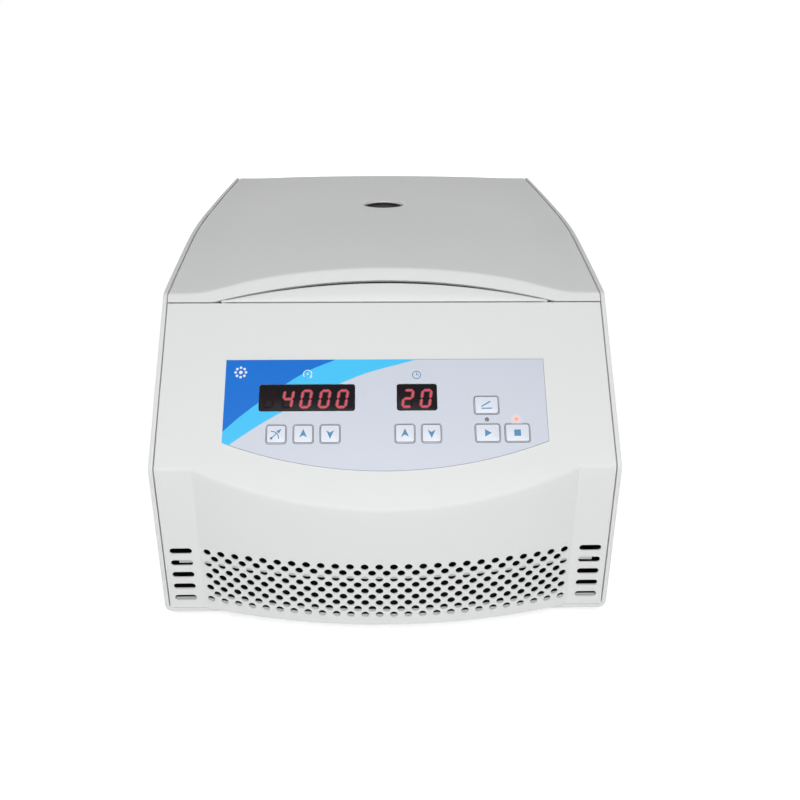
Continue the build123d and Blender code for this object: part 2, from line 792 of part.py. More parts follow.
with BuildPart() as damper_posts:
    with BuildSketch(level_plane(wall)):
        with Locations((0, axis_y)):
            with GridLocations(damper_spread, damper_spread, 2, 2):
                Rectangle(2 * post_radius, 2 * post_radius)
    extrude(amount=post_top - wall)
damper_posts.part.label = "damper_posts"
export_step(damper_posts.part, "parts/damper_posts.step")

with BuildPart() as rubber_dampers:
    with BuildSketch(level_plane(post_top)):
        with Locations((0, axis_y)):
            with GridLocations(damper_spread, damper_spread, 2, 2):
                RegularPolygon(damper_radius, 6)
    extrude(amount=motor_top - post_top)
rubber_dampers.part.label = "rubber_dampers"
export_step(rubber_dampers.part, "parts/rubber_dampers.step")

with BuildPart() as shaft_boot:
    with BuildSketch(level_plane(chamber_floor + 6)):
        with Locations((0, axis_y)):
            RegularPolygon(collar_radius + 1, collar_sides)
            RegularPolygon(shaft_radius + 3, collar_sides, mode=Mode.SUBTRACT)
    extrude(amount=chamber_wall)
shaft_boot.part.label = "shaft_boot"
export_step(shaft_boot.part, "parts/shaft_boot.step")

with BuildPart() as motor_shaft:
    with BuildSketch(level_plane(motor_foot + 8.5)):
        with Locations((0, axis_y)):
            Circle(shaft_radius)
    extrude(amount=hub_top - motor_foot - 8.5)
    with BuildSketch(level_plane(hub_top)):
        with Locations((0, axis_y)):
            RegularPolygon(stud_radius, shaft_sides)
    extrude(amount=12)
motor_shaft.part.label = "motor_shaft"
export_step(motor_shaft.part, "parts/motor_shaft.step")

# ==== Rotor ====

mouth_radius, mouth_height = 46.0, 152.0
sleeve_radius, sleeve_bore = 11.6, 10.0
sleeve_lip_radius, sleeve_lip = 13.5, 1.5
sleeve_bore_depth = 92.0
sleeve_clearance = 0.3
sleeve_sides = 8
hub_radius, hub_sides = 18.0, 12
dish_outer = 70.0
dish_top = mouth_height + (dish_outer - mouth_radius) / tan(radians(sleeve_tilt))
dish_thickness = 4.0
tilt_sin, tilt_cos = sin(radians(sleeve_tilt)), cos(radians(sleeve_tilt))


def sleeve_plane(angle):
    """At a sleeve's seat on the dish, facing out of the sleeve's mouth."""
    toward = Vector(cos(radians(angle)), sin(radians(angle)), 0)
    origin = Vector(0, axis_y, foot_height + mouth_height) + toward * mouth_radius
    return Plane(origin=origin, z_dir=toward * -tilt_cos + Vector(0, 0, tilt_sin))


sleeve_angles = [(item + 0.5) * 360 / sleeve_count for item in range(sleeve_count)]


def dish_form(drop):
    """The hollow of an eight-sided dish with a flat square to each sleeve, lowered by drop."""
    reach = 2 * dish_outer
    with BuildPart() as form:
        with BuildSketch(level_plane(hub_foot)):
            with Locations((0, axis_y)):
                Rectangle(2 * reach, 2 * reach)
        extrude(amount=dish_top - hub_foot)
        for angle in sleeve_angles:
            with BuildSketch(sleeve_plane(angle).offset(-drop)):
                Rectangle(2 * reach, 2 * reach)
            extrude(amount=-reach, mode=Mode.SUBTRACT)
    return form.part


with BuildPart() as rotor_body:
    add(dish_form(dish_thickness))
    add(dish_form(0), mode=Mode.SUBTRACT)
    with BuildSketch(level_plane(hub_foot)):
        with Locations((0, axis_y)):
            RegularPolygon(hub_radius, hub_sides)
    extrude(amount=hub_top - hub_foot, mode=Mode.SUBTRACT)
    for angle in sleeve_angles:
        with BuildSketch(sleeve_plane(angle)):
            RegularPolygon(sleeve_radius + sleeve_clearance, sleeve_sides)
        extrude(amount=2 * dish_thickness, both=True, mode=Mode.SUBTRACT)
rotor_body.part.label = "rotor_body"
export_step(rotor_body.part, "parts/rotor_body.step")

with BuildPart() as rotor_hub:
    with BuildSketch(level_plane(hub_foot)):
        with Locations((0, axis_y)):
            RegularPolygon(hub_radius, hub_sides)
            RegularPolygon(shaft_radius, shaft_sides, major_radius=False, mode=Mode.SUBTRACT)
    extrude(amount=hub_top - hub_foot)
rotor_hub.part.label = "rotor_hub"
export_step(rotor_hub.part, "parts/rotor_hub.step")

for number, angle in enumerate(sleeve_angles, 1):
    with BuildPart() as tube_sleeve:
        with BuildSketch(sleeve_plane(angle)):
            RegularPolygon(sleeve_lip_radius, sleeve_sides)
        extrude(amount=sleeve_lip)
        with BuildSketch(sleeve_plane(angle)):
            RegularPolygon(sleeve_radius, sleeve_sides)
        extrude(amount=-sleeve_length)
        with BuildSketch(sleeve_plane(angle).offset(sleeve_lip)):
            Circle(sleeve_bore)
        extrude(amount=-sleeve_bore_depth, mode=Mode.SUBTRACT)
    tube_sleeve.part.label = f"tube_sleeve_{number}"
    export_step(tube_sleeve.part, f"parts/tube_sleeve_{number}.step")

with BuildPart() as rotor_nut:
    with BuildSketch(level_plane(hub_top)):
        with Locations((0, axis_y)):
            RegularPolygon(12, 6)
            RegularPolygon(stud_radius, shaft_sides, mode=Mode.SUBTRACT)
    extrude(amount=11)
rotor_nut.part.label = "rotor_nut"
export_step(rotor_nut.part, "parts/rotor_nut.step")

# ==== Electrics ====

board_stand = 10.0

with BuildPart() as drive_board:
    with BuildSketch(level_plane(wall + board_stand)):
        with Locations((75, front_y + 440)):
            Rectangle(130, 66)
    extrude(amount=board_thickness)
    with BuildSketch(level_plane(wall)):
        with Locations((75, front_y + 440)):
            with GridLocations(120, 56, 2, 2):
                Rectangle(6, 6)
    extrude(amount=board_stand)
drive_board.part.label = "drive_board"
export_step(drive_board.part, "parts/drive_board.step")

fin_count, fin_pitch, fin_thickness = 6, 9.6, 2.0

with BuildPart() as heat_sink:
    with BuildSketch(Plane.XZ.offset(-front_y - 466)):
        with Locations((95, foot_height + wall + board_stand + board_thickness)):
            Rectangle(56, 5, align=(Align.CENTER, Align.MIN))
        with Locations((95, foot_height + wall + board_stand + board_thickness + 5)):
            with GridLocations(fin_pitch, 1, fin_count, 1):
                Rectangle(fin_thickness, 22, align=(Align.CENTER, Align.MIN))
    extrude(amount=40)
heat_sink.part.label = "heat_sink"
export_step(heat_sink.part, "parts/heat_sink.step")

core_depth, core_x = 405.0, -112.0

with BuildPart() as transformer:
    with BuildSketch(level_plane(wall)):
        with Locations((core_x, front_y + core_depth - 6)):
            Rectangle(66, 30)
    extrude(amount=56)
    with BuildSketch(level_plane(wall + 9)):
        with Locations((core_x, front_y + core_depth - 6)):
            winding = Rectangle(44, 50)
        chamfer(winding.vertices(), 8)
    extrude(amount=38)
transformer.part.label = "transformer"
export_step(transformer.part, "parts/transformer.step")

# The inlet's shroud, with its mouth at the rear.
inlet_flange_width, inlet_flange_tall = 44.0, 26.0
inlet_flange, inlet_body_depth = 2.5, 22.0
inlet_wall = 2.0
pin_spread, pin_rise = 7.0, 2.5
pin_wide, pin_thin, pin_reach = 4.0, 2.0, 13.0

with BuildPart() as power_inlet:
    with BuildSketch(rear_plane(rear_face_depth)):
        with Locations((-inlet_x, inlet_height)):
            flange = Rectangle(inlet_flange_width, inlet_flange_tall)
        chamfer(flange.vertices(), 2)
    extrude(amount=inlet_flange)
    with BuildSketch(rear_plane(rear_face_depth)):
        with Locations((-inlet_x, inlet_height)):
            Rectangle(inlet_width, inlet_tall)
    extrude(amount=-inlet_body_depth)
    with BuildSketch(rear_plane(rear_face_depth + inlet_flange)):
        with Locations((-inlet_x, inlet_height)):
            mouth = Rectangle(inlet_width - 2 * inlet_wall, inlet_tall - 2 * inlet_wall)
        chamfer(mouth.vertices().group_by(Axis.Z)[-1], 4)
    extrude(amount=-inlet_body_depth, mode=Mode.SUBTRACT)
power_inlet.part.label = "power_inlet"
export_step(power_inlet.part, "parts/power_inlet.step")

with BuildPart() as inlet_pins:
    with BuildSketch(rear_plane(rear_face_depth + inlet_flange - inlet_body_depth)):
        for x, rise in ((-pin_spread, -pin_rise), (0, pin_rise), (pin_spread, -pin_rise)):
            with Locations((x - inlet_x, rise + inlet_height)):
                Rectangle(pin_thin, pin_wide)
    extrude(amount=pin_reach)
inlet_pins.part.label = "inlet_pins"
export_step(inlet_pins.part, "parts/inlet_pins.step")

bezel_width, bezel_tall, bezel_thickness = 15.0, 32.0, 2.0
rocker_half_width, rocker_half_tall = 4.8, 11.0
rocker_room = 1.5
rocker_pivot_depth = 475.0
rocker_tilt = 8.0
trunnion_radius = 1.5
switch_body_depth = 16.0

with BuildPart() as switch_housing:
    with BuildSketch(rear_plane(rear_face_depth)):
        with Locations((-switch_x, switch_height)):
            Rectangle(bezel_width, bezel_tall)
    extrude(amount=bezel_thickness)
    with BuildSketch(rear_plane(rear_face_depth)):
        with Locations((-switch_x, switch_height)):
            Rectangle(switch_width, switch_tall)
    extrude(amount=-switch_body_depth)
    with BuildSketch(rear_plane(rear_face_depth + bezel_thickness)):
        with Locations((-switch_x, switch_height)):
            Rectangle(2 * rocker_half_width + 0.8, 2 * (rocker_half_tall + rocker_room))
    extrude(amount=-switch_body_depth, mode=Mode.SUBTRACT)
    with BuildSketch(Plane.YZ.offset(switch_x - switch_width / 2)):
        with Locations(side_point(rocker_pivot_depth, switch_height)):
            RegularPolygon(trunnion_radius + pin_clearance, pin_sides, major_radius=False)
    extrude(amount=switch_width, mode=Mode.SUBTRACT)
switch_housing.part.label = "switch_housing"
export_step(switch_housing.part, "parts/switch_housing.step")

# Drawn tipped to one side, which is the position it rests in.
rocker_plane = Plane(
    origin=(switch_x, front_y + rocker_pivot_depth, foot_height + switch_height),
    x_dir=(0, cos(radians(rocker_tilt)), sin(radians(rocker_tilt))),
    z_dir=(1, 0, 0),
)

with BuildPart() as power_rocker:
    with BuildSketch(rocker_plane.offset(-rocker_half_width)):
        with BuildLine():
            Polyline(
                (-2.5, -5), (3, -rocker_half_tall), (9.5, -rocker_half_tall), (7.6, 0),
                (9.5, rocker_half_tall), (3, rocker_half_tall), (-2.5, 5),
                close=True,
            )
        make_face()
    extrude(amount=2 * rocker_half_width)
    with BuildSketch(rocker_plane.offset(-switch_width / 2)):
        RegularPolygon(trunnion_radius, pin_sides)
    extrude(amount=switch_width)
power_rocker.part.label = "power_rocker"
export_step(power_rocker.part, "parts/power_rocker.step")

with BuildPart() as fuse_holder:
    with BuildSketch(rear_plane(rear_face_depth - 24)):
        with Locations((-fuse_x, inlet_height)):
            RegularPolygon(fuse_radius, fuse_sides)
    extrude(amount=24)
    with BuildSketch(rear_plane(rear_face_depth)):
        with Locations((-fuse_x, inlet_height)):
            RegularPolygon(fuse_radius + 2, fuse_sides)
    extrude(amount=3)
    with BuildSketch(rear_plane(rear_face_depth + 3)):
        with Locations((-fuse_x, inlet_height)):
            RegularPolygon(fuse_radius - 0.5, fuse_sides)
    extrude(amount=6)
    with BuildSketch(rear_plane(rear_face_depth + 9)):
        with Locations((-fuse_x, inlet_height)):
            Rectangle(1.2, 9)
    extrude(amount=-1, mode=Mode.SUBTRACT)
fuse_holder.part.label = "fuse_holder"
export_step(fuse_holder.part, "parts/fuse_holder.step")

# ==== Feet ====

foot_radius, foot_sides, foot_bevel, foot_inset = 14.0, 8, 1.5, 36.0

with BuildPart() as rubber_feet:
    with BuildSketch(Plane.XY):
        with Locations((0, front_y + cabinet_depth / 2)):
            with GridLocations(cabinet_width - 2 * foot_inset, cabinet_depth - 2 * foot_inset, 2, 2):
                RegularPolygon(foot_radius, foot_sides)
    extrude(amount=foot_height)
    chamfer(rubber_feet.edges().group_by(Axis.Z)[0], foot_bevel)
rubber_feet.part.label = "rubber_feet"
export_step(rubber_feet.part, "parts/rubber_feet.step")
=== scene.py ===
"""Bench centrifuge for butterfat tubes: the visible pieces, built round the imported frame.

Lengths are millimetres until to_object() turns them into metres. "depth" runs back from the flat
lower front, "height" runs up from the cabinet's underside, and "run" runs up the control slope.
"""
from math import atan2, cos, pi, radians, sin, tan

import bmesh
import bpy
from mathutils import Matrix, Vector


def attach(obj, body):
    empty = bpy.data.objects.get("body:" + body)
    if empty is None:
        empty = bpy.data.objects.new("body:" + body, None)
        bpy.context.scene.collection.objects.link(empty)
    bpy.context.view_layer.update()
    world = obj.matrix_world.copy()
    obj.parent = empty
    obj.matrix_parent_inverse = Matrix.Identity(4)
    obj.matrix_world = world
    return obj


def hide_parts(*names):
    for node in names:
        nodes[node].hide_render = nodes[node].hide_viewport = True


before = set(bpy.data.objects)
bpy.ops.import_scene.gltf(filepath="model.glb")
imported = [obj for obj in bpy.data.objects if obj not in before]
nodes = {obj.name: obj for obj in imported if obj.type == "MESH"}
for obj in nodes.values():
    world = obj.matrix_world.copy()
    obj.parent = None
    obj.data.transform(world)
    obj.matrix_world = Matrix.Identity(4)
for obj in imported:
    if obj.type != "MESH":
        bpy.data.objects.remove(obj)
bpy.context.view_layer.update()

MM = 0.001
FRONT_Y = -236.75
FOOT = 10.0
AXIS_Y = 50.25
SLOPE = radians(43)
CREASE = 118.0
INSERT_HALF = 156.3
BULGE_HALF, BULGE_DEPTH = 131.0, 21.5
BULGE_RADIUS = (BULGE_HALF**2 + BULGE_DEPTH**2) / (2 * BULGE_DEPTH)
SEAM_RUN, LID_RUN = 124.75, 125.8


# ---- Scene: camera, light and ground ----

ROOM_LIGHT = 0.08
WHITE = (1, 1, 1, 1)


def in_scene(name, data):
    """A new object at the scene's origin."""
    obj = bpy.data.objects.new(name, data)
    bpy.context.scene.collection.objects.link(obj)
    return obj


def aim_camera():
    """A camera just above and ahead of the lid, turned a little to the right."""
    pitch, turn, roll = radians(25.686), radians(-1.313), radians(0.259)
    ahead = Vector((-sin(turn) * cos(pitch), cos(turn) * cos(pitch), -sin(pitch)))
    right = Vector((cos(turn), sin(turn), 0))
    up = right.cross(ahead)
    across = cos(roll) * right + sin(roll) * up
    upward = cos(roll) * up - sin(roll) * right
    data = bpy.data.cameras.new("studio_camera")
    data.sensor_width, data.lens = 36.0, 42.3
    camera = in_scene("studio_camera", data)
    basis = Matrix((across, upward, -ahead)).transposed().to_4x4()
    camera.matrix_world = Matrix.Translation(Vector((-3.54, -787.58, 444.07)) * MM) @ basis
    bpy.context.scene.camera = camera


def soft_lamp(name, size, watts, place, target):
    data = bpy.data.lights.new(name, "AREA")
    data.shape, data.size, data.energy = "SQUARE", size, watts
    gaze = (Vector(target) - Vector(place)).to_track_quat("-Z", "Y")
    in_scene(name, data).matrix_world = Matrix.Translation(place) @ gaze.to_matrix().to_4x4()


def wired(tree, kind, feeds=None, **settings):
    """Adds a shader node, feeds its inputs with values or other nodes' outputs; returns its outputs."""
    node = tree.nodes.new("ShaderNode" + kind)
    for name, value in settings.items():
        setattr(node, name, value)
    for name, value in (feeds or {}).items():
        if isinstance(value, bpy.types.NodeSocket):
            tree.links.new(value, node.inputs[name])
        else:
            node.inputs[name].default_value = value
    return node.outputs


def maths(tree, how, first, second):
    return wired(tree, "Math", {0: first, 1: second}, operation=how)[0]


def seen_or_lighting(tree, lighting, seen):
    """One shader for what the camera, mirrors and glass see, another for what lights the object."""
    path = wired(tree, "LightPath")
    rays = maths(tree, "MAXIMUM", path["Is Camera Ray"], path["Is Glossy Ray"])
    rays = maths(tree, "MAXIMUM", rays, path["Is Transmission Ray"])
    return wired(tree, "MixShader", {0: rays, 1: lighting, 2: seen})[0]


def white_far_out(tree):
    """A white glow that rises with the distance from the object."""
    away = wired(tree, "VectorMath", {0: wired(tree, "TexCoord")["Object"]}, operation="LENGTH")["Value"]
    rise = {"Value": away, "From Min": 0.3, "From Max": 1.2, "To Min": 0.55, "To Max": 1.0}
    return wired(tree, "Emission", {"Color": WHITE, "Strength": wired(tree, "MapRange", rise)["Result"]})[0]


def new_material(name, plain):
    """A material with plain values on its shader; returns it, its node tree and its shader."""
    material = bpy.data.materials.new(name)
    material.use_nodes = True
    body = material.node_tree.nodes["Principled BSDF"]
    for key, value in plain.items():
        body.inputs[key].default_value = value
    return material, material.node_tree, body


def build_studio():
    scene = bpy.context.scene
    scene.view_settings.view_transform = "Standard"
    scene.world = bpy.data.worlds.new("soft_room")
    scene.world.use_nodes = True
    tree = scene.world.node_tree
    tree.nodes.clear()
    room = wired(tree, "Background", {"Color": WHITE, "Strength": ROOM_LIGHT})[0]
    white = wired(tree, "Background", {"Color": WHITE, "Strength": 1.0})[0]
    wired(tree, "OutputWorld", {"Surface": seen_or_lighting(tree, room, white)})
    soft_lamp("front_softbox", 1.2, 22, (0, -1.31, 1.19), (0, -0.2, 0.16))
    for side in (-1, 1):
        soft_lamp("rear_light", 0.46, 17, (1.4 * side, 1.4, 0.14), (0, 0.05, 0.12))
    paint, tree, body = new_material(
        "pale_ground", {"Base Color": (0.9, 0.9, 0.9, 1), "Roughness": 0.9, "Specular IOR Level": 0.1}
    )
    black = wired(tree, "Emission", {"Strength": 0})[0]
    white = seen_or_lighting(tree, black, white_far_out(tree))
    floor = wired(tree, "AddShader", {0: body.outputs[0], 1: white})[0]
    tree.links.new(floor, tree.nodes["Material Output"].inputs["Surface"])
    bm = bmesh.new()
    bmesh.ops.create_grid(bm, x_segments=1, y_segments=1, size=6)
    mesh = bpy.data.meshes.new("ground")
    bm.to_mesh(mesh)
    bm.free()
    mesh.materials.append(paint)
    in_scene("ground", mesh)


aim_camera()
build_studio()


# ---- Finishes ----

def linear(red, green, blue):
    """A display colour, 0 to 255, as the linear colour that shaders take."""
    return tuple(
        (c / 255 / 12.92) if c <= 10 else ((c / 255 + 0.055) / 1.055) ** 2.4 for c in (red, green, blue)
    ) + (1.0,)


def noise(tree, vector, size, detail):
    return wired(tree, "TexNoise", {"Vector": vector, "Scale": size, "Detail": detail})["Fac"]


def effect_group(name, *inputs):
    """Starts an effect with a colour, a roughness and its own inputs, and the outputs that all have."""
    group = bpy.data.node_groups.new(name, "ShaderNodeTree")
    for key, kind, value in (("Colour", "Color", (0.8, 0.8, 0.8, 1)), ("Roughness", "Float", 0.4), *inputs):
        group.interface.new_socket(key, in_out="INPUT", socket_type="NodeSocket" + kind).default_value = value
    for key, kind in (("Colour", "Color"), ("Roughness", "Float"), ("Normal", "Vector")):
        group.interface.new_socket(key, in_out="OUTPUT", socket_type="NodeSocket" + kind)
    return group, group.nodes.new("NodeGroupInput").outputs, wired(group, "TexCoord")["Object"]


def close_group(group, start, shade, gloss, height, relief):
    """Shades the colour, adds to the roughness and gives the relief its height."""
    end = group.nodes.new("NodeGroupOutput").inputs
    tinted = wired(group, "VectorMath", {0: start["Colour"], "Scale": shade}, operation="SCALE")
    group.links.new(tinted[0], end["Colour"])
    group.links.new(maths(group, "ADD", gloss, start["Roughness"]), end["Roughness"])
    group.links.new(wired(group, "Bump", {"Distance": height, "Height": relief})[0], end["Normal"])
    return group


def skin_group():
    """Cloudy shade, smudged gloss and fine relief, for moulded, painted and rubber skins."""
    group, start, place = effect_group(
        "skin", ("Shade Spread", "Float", 0.04), ("Smudges", "Float", 0.1), ("Grain Size", "Float", 900.0),
        ("Grain Height", "Float", 0.00002),
    )
    cloud = maths(group, "SUBTRACT", noise(group, place, 9.0, 3.0), 0.5)
    shade = maths(group, "ADD", maths(group, "MULTIPLY", cloud, start["Shade Spread"]), 1.0)
    smear = maths(group, "SUBTRACT", noise(group, place, 38.0, 4.0), 0.5)
    gloss = maths(group, "MULTIPLY", smear, start["Smudges"])
    return close_group(
        group, start, shade, gloss, start["Grain Height"], noise(group, place, start["Grain Size"], 2.0)
    )


def drawn_group():
    """Fine parallel lines along one axis, for brushed and turned metal."""
    group, start, place = effect_group(
        "drawn_lines", ("Stretch", "Vector", (40.0, 1500.0, 1500.0)), ("Line Height", "Float", 0.00001)
    )
    pulled = wired(group, "VectorMath", {0: place, 1: start["Stretch"]}, operation="MULTIPLY")[0]
    lines = noise(group, pulled, 1.0, 3.0)
    shade = maths(group, "ADD", maths(group, "MULTIPLY", lines, 0.24), 0.88)
    gloss = maths(group, "MULTIPLY", lines, 0.14)
    return close_group(group, start, shade, gloss, start["Line Height"], lines)


def finish(name, group, plain, effect):
    """A material with an effect group on its varying sockets and plain values on the rest."""
    material, tree, body = new_material(name, plain)
    varying = wired(tree, "Group", effect, node_tree=group)
    for key, socket in (("Colour", "Base Color"), ("Roughness", "Roughness"), ("Normal", "Normal")):
        tree.links.new(varying[key], body.inputs[socket])
    return material


def skin(name, colour, rough, spread, smudges, grain, height, shine=0.5, **plain):
    settings = {key.replace("_", " "): value for key, value in plain.items()}
    return finish(name, SKIN, {"Specular IOR Level": shine, **settings}, {
        "Colour": linear(*colour), "Roughness": rough, "Shade Spread": spread, "Smudges": smudges,
        "Grain Size": grain, "Grain Height": height * 1e-6,
    })


SKIN, DRAWN = skin_group(), drawn_group()
# name: (colour, roughness, shade spread, smudges, grain size, grain height in micrometres, shine)
SKINS = {
    "shell_enamel": ((229, 230, 230), 0.36, 0.02, 0.06, 420, 12, 0.25),
    "cabinet_enamel": ((227, 228, 228), 0.38, 0.02, 0.06, 520, 12, 0.25),
    # painted shade: the slats' grey is darker than the moulding they belong to
    "slat_painted_shade_grey": ((205, 206, 206), 0.5, 0.03, 0.06, 500, 12, 0.2),
    # painted shade: a near-black for inner faces that the grille's holes and the lid's window show
    "painted_shade_dark": ((34, 34, 36), 0.6, 0.1, 0.1, 600, 20),
    "deck_grey": ((222, 223, 221), 0.45, 0.02, 0.06, 1400, 20),
    "film_grey": ((204, 210, 222), 0.33, 0.015, 0.05, 2600, 8),
    "film_edge_painted_shade": ((138, 142, 150), 0.4, 0.02, 0.05, 2600, 8),
    "print_dark_blue": ((0, 113, 212), 0.33, 0.02, 0.04, 2600, 8, 0.2),
    "print_light_blue": ((72, 200, 252), 0.33, 0.02, 0.04, 2600, 8, 0.2),
    "print_ink": ((58, 128, 170), 0.4, 0.03, 0.04, 2600, 5),
    "print_white": ((230, 236, 242), 0.4, 0.02, 0.04, 2600, 5),
    "key_outline_ink": ((40, 46, 60), 0.4, 0.03, 0.04, 2600, 5),
    "key_white": ((225, 230, 241), 0.38, 0.015, 0.05, 2000, 10),
    "window_dark": ((24, 20, 24), 0.3, 0.1, 0.04, 2000, 2, 0.08),
    "segment_off": ((34, 18, 22), 0.4, 0.05, 0.04, 900, 20, 0.05),
    "lamp_dark": ((112, 112, 116), 0.15, 0.03, 0.03, 900, 20),
    "black_moulding": ((24, 24, 26), 0.42, 0.1, 0.1, 1600, 30),
    "seal_black": ((30, 30, 32), 0.6, 0.12, 0.1, 1200, 40),
    "foot_rubber": ((26, 26, 28), 0.7, 0.12, 0.1, 1400, 50),
    "board_green": ((20, 84, 50), 0.35, 0.2, 0.1, 500, 50),
    "iron_black": ((38, 38, 42), 0.5, 0.15, 0.1, 900, 40),
}
# name: (colour, colour of its glow, strength)
GLOWS = {
    "segment_halo": ((10, 2, 4), (112, 16, 34), 1.0),
    "segment_red": ((20, 2, 5), (212, 40, 74), 1.0),
    "lamp_lit": ((236, 150, 120), (255, 128, 88), 0.55),
}
# name: (colour, roughness, stretch of its lines)
METALS = {
    "chamber_steel": ((196, 198, 200), 0.28, (60, 60, 1600)),
    "plated_steel": ((186, 188, 192), 0.32, (1200, 60, 1200)),
    "rotor_alloy": ((188, 191, 195), 0.42, (900, 900, 90)),
    "sleeve_steel": ((190, 192, 194), 0.26, (400, 400, 400)),
    "pin_nickel": ((206, 190, 150), 0.25, (40, 1500, 1500)),
}
FINISH = {name: skin(name, *values) for name, values in SKINS.items()}
for name, (colour, glow, strength) in GLOWS.items():
    FINISH[name] = skin(
        name, colour, 0.25, 0.04, 0.02, 900, 20, Emission_Color=linear(*glow), Emission_Strength=strength
    )
for name, (colour, rough, stretch) in METALS.items():
    effect = {"Colour": linear(*colour), "Roughness": rough, "Stretch": stretch}
    FINISH[name] = finish(name, DRAWN, {"Metallic": 1.0}, effect)
FINISH["glass_smoked"] = skin(
    "glass_smoked", (122, 128, 132), 0.03, 0.02, 0.02, 60, 2, 0.3, Transmission_Weight=1.0, IOR=1.05
)


def glowing_film(lamp, core, radius):
    """The film's own finish, with a glow that dies away from a lamp, from its core to a radius."""
    material = skin("film_glow", *SKINS["film_grey"], Emission_Strength=0.4)
    tree = material.node_tree
    place = wired(tree, "TexCoord")["Object"]
    away = wired(tree, "VectorMath", {0: place, 1: lamp}, operation="DISTANCE")["Value"]
    near = {"Value": away, "From Min": core, "From Max": radius, "To Min": 1.0, "To Max": 0.0}
    share = maths(tree, "POWER", wired(tree, "MapRange", near)["Result"], 2.0)
    tint = {"Factor": share, 6: (0, 0, 0, 1), 7: linear(255, 96, 56)}
    colour = wired(tree, "Mix", tint, data_type="RGBA")[2]
    tree.links.new(colour, tree.nodes["Principled BSDF"].inputs["Emission Color"])
    return material


# ---- Ways of making pieces ----

def shaped_mesh(obj):
    """A copy of an object's mesh with its modifiers, or of a curve's fill."""
    graph = bpy.context.evaluated_depsgraph_get()
    return bpy.data.meshes.new_from_object(obj.evaluated_get(graph))


def to_object(name, bm):
    bmesh.ops.scale(bm, vec=(MM, MM, MM), verts=bm.verts)
    mesh = bpy.data.meshes.new(name)
    bm.to_mesh(mesh)
    bm.free()
    return in_scene(name, mesh)


def cut(obj, bm):
    """Takes the closed forms in bm, in millimetres, out of an object."""
    bmesh.ops.recalc_face_normals(bm, faces=bm.faces)
    knife = to_object("knife", bm)
    tool = obj.modifiers.new("cut", "BOOLEAN")
    tool.operation, tool.solver, tool.object = "DIFFERENCE", "EXACT", knife
    whole, shaped = obj.data, shaped_mesh(obj)
    obj.modifiers.clear()
    obj.data = shaped
    bpy.data.meshes.remove(whole)
    bpy.data.objects.remove(knife)


def piece(name, bm, material, slot, *stands_for, body="cabinet", sharp=35, knife=None, closed=True):
    """A bmesh in millimetres as a finished piece in metres: its shading, finish, body and the
    nodes it stands for; its slot is not used."""
    bmesh.ops.remove_doubles(bm, verts=bm.verts, dist=0.002)
    if closed:
        bmesh.ops.recalc_face_normals(bm, faces=bm.faces)
    obj = to_object(name, bm)
    if knife:
        cut(obj, knife)
    obj.data.materials.clear()
    obj.data.materials.append(FINISH[material])
    obj.data.shade_smooth()
    obj.data.set_sharp_from_angle(angle=radians(sharp))
    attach(obj, body)
    if stands_for:
        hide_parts(*stands_for)
    return obj


def line_inside(obj, material, inside):
    """Gives the faces whose centres, in millimetres, pass inside() a second material."""
    obj.data.materials.append(FINISH[material])
    for face in obj.data.polygons:
        if inside(face.center / MM, face.normal):
            face.material_index = 1


def spot(depth, height, x=0.0):
    return Vector((x, FRONT_Y + depth, FOOT + height))


def on_slope(x, run, out=0.0):
    """A point of the control slope, raised from its skin by out."""
    return spot(run * cos(SLOPE) - out * sin(SLOPE), CREASE + run * sin(SLOPE) + out * cos(SLOPE), x)


def slope(x=0.0, run=0.0, out=0.0):
    """Puts a flat drawing on the control slope, with its origin at x, run and out."""
    return Matrix((
        (1, 0, 0, 0),
        (0, cos(SLOPE), -sin(SLOPE), FRONT_Y),
        (0, sin(SLOPE), cos(SLOPE), FOOT + CREASE),
        (0, 0, 0, 1),
    )) @ Matrix.Translation((x, run, out))


def level(height):
    """Puts a drawing of (x, depth) at a height."""
    return Matrix.Translation((0, FRONT_Y, FOOT + height))


def axial():
    """Stands a turned form on the rotor's axis."""
    return Matrix.Translation((0, AXIS_Y, FOOT))


def side_on(x):
    """Puts a drawing of (depth, height) at x, with its thickness along X."""
    return Matrix(((0, 0, 1, x), (1, 0, 0, FRONT_Y), (0, 1, 0, FOOT), (0, 0, 0, 1)))


def rear(x, depth, height):
    """Puts a drawing on a face that looks back, as somebody behind the cabinet sees it."""
    return Matrix(((-1, 0, 0, x), (0, 0, 1, FRONT_Y + depth), (0, 1, 0, FOOT + height), (0, 0, 0, 1)))


def between(start, end, share):
    return start + (end - start) * share


def spread(start, end, count):
    return [start + (end - start) * step / count for step in range(count + 1)]


def grid_sheet(bm, columns, rows):
    """A flat grid whose lines lie at the given columns and rows; returns its vertices."""
    wide, long = len(columns) - 1, len(rows) - 1
    verts = bmesh.ops.create_grid(bm, x_segments=wide, y_segments=long, size=0.5)["verts"]
    for vert in verts:
        column, row = round((vert.co.x + 0.5) * wide), round((vert.co.y + 0.5) * long)
        vert.co = (columns[column], rows[row], 0)
    return verts


def mapped(bm, columns, rows, place):
    """A grid whose crossings place() moves to where they belong."""
    for vert in grid_sheet(bm, columns, rows):
        vert.co = place(vert.co.x, vert.co.y)


def only_verts(items):
    return [item for item in items if isinstance(item, bmesh.types.BMVert)]


def put(bm, before, place):
    """Moves every vertex that isn't among the earlier ones to its place."""
    bmesh.ops.transform(bm, matrix=place, verts=[vert for vert in bm.verts if vert not in before])


def chain(bm, points, closed=True):
    """Vertices at points and the edges that join them, in a ring or a line."""
    verts = [bm.verts.new(point) for point in points]
    starts = verts if closed else verts[:-1]
    return verts, [bm.edges.new((vert, verts[(i + 1) % len(verts)])) for i, vert in enumerate(starts)]


def raised(bm, faces, thickness):
    """Extrudes flat faces upwards and keeps them as the underside; returns what that adds."""
    out = bmesh.ops.extrude_face_region(bm, geom=faces, use_keep_orig=True)["geom"]
    bmesh.ops.translate(bm, vec=(0, 0, thickness), verts=only_verts(out))
    return out


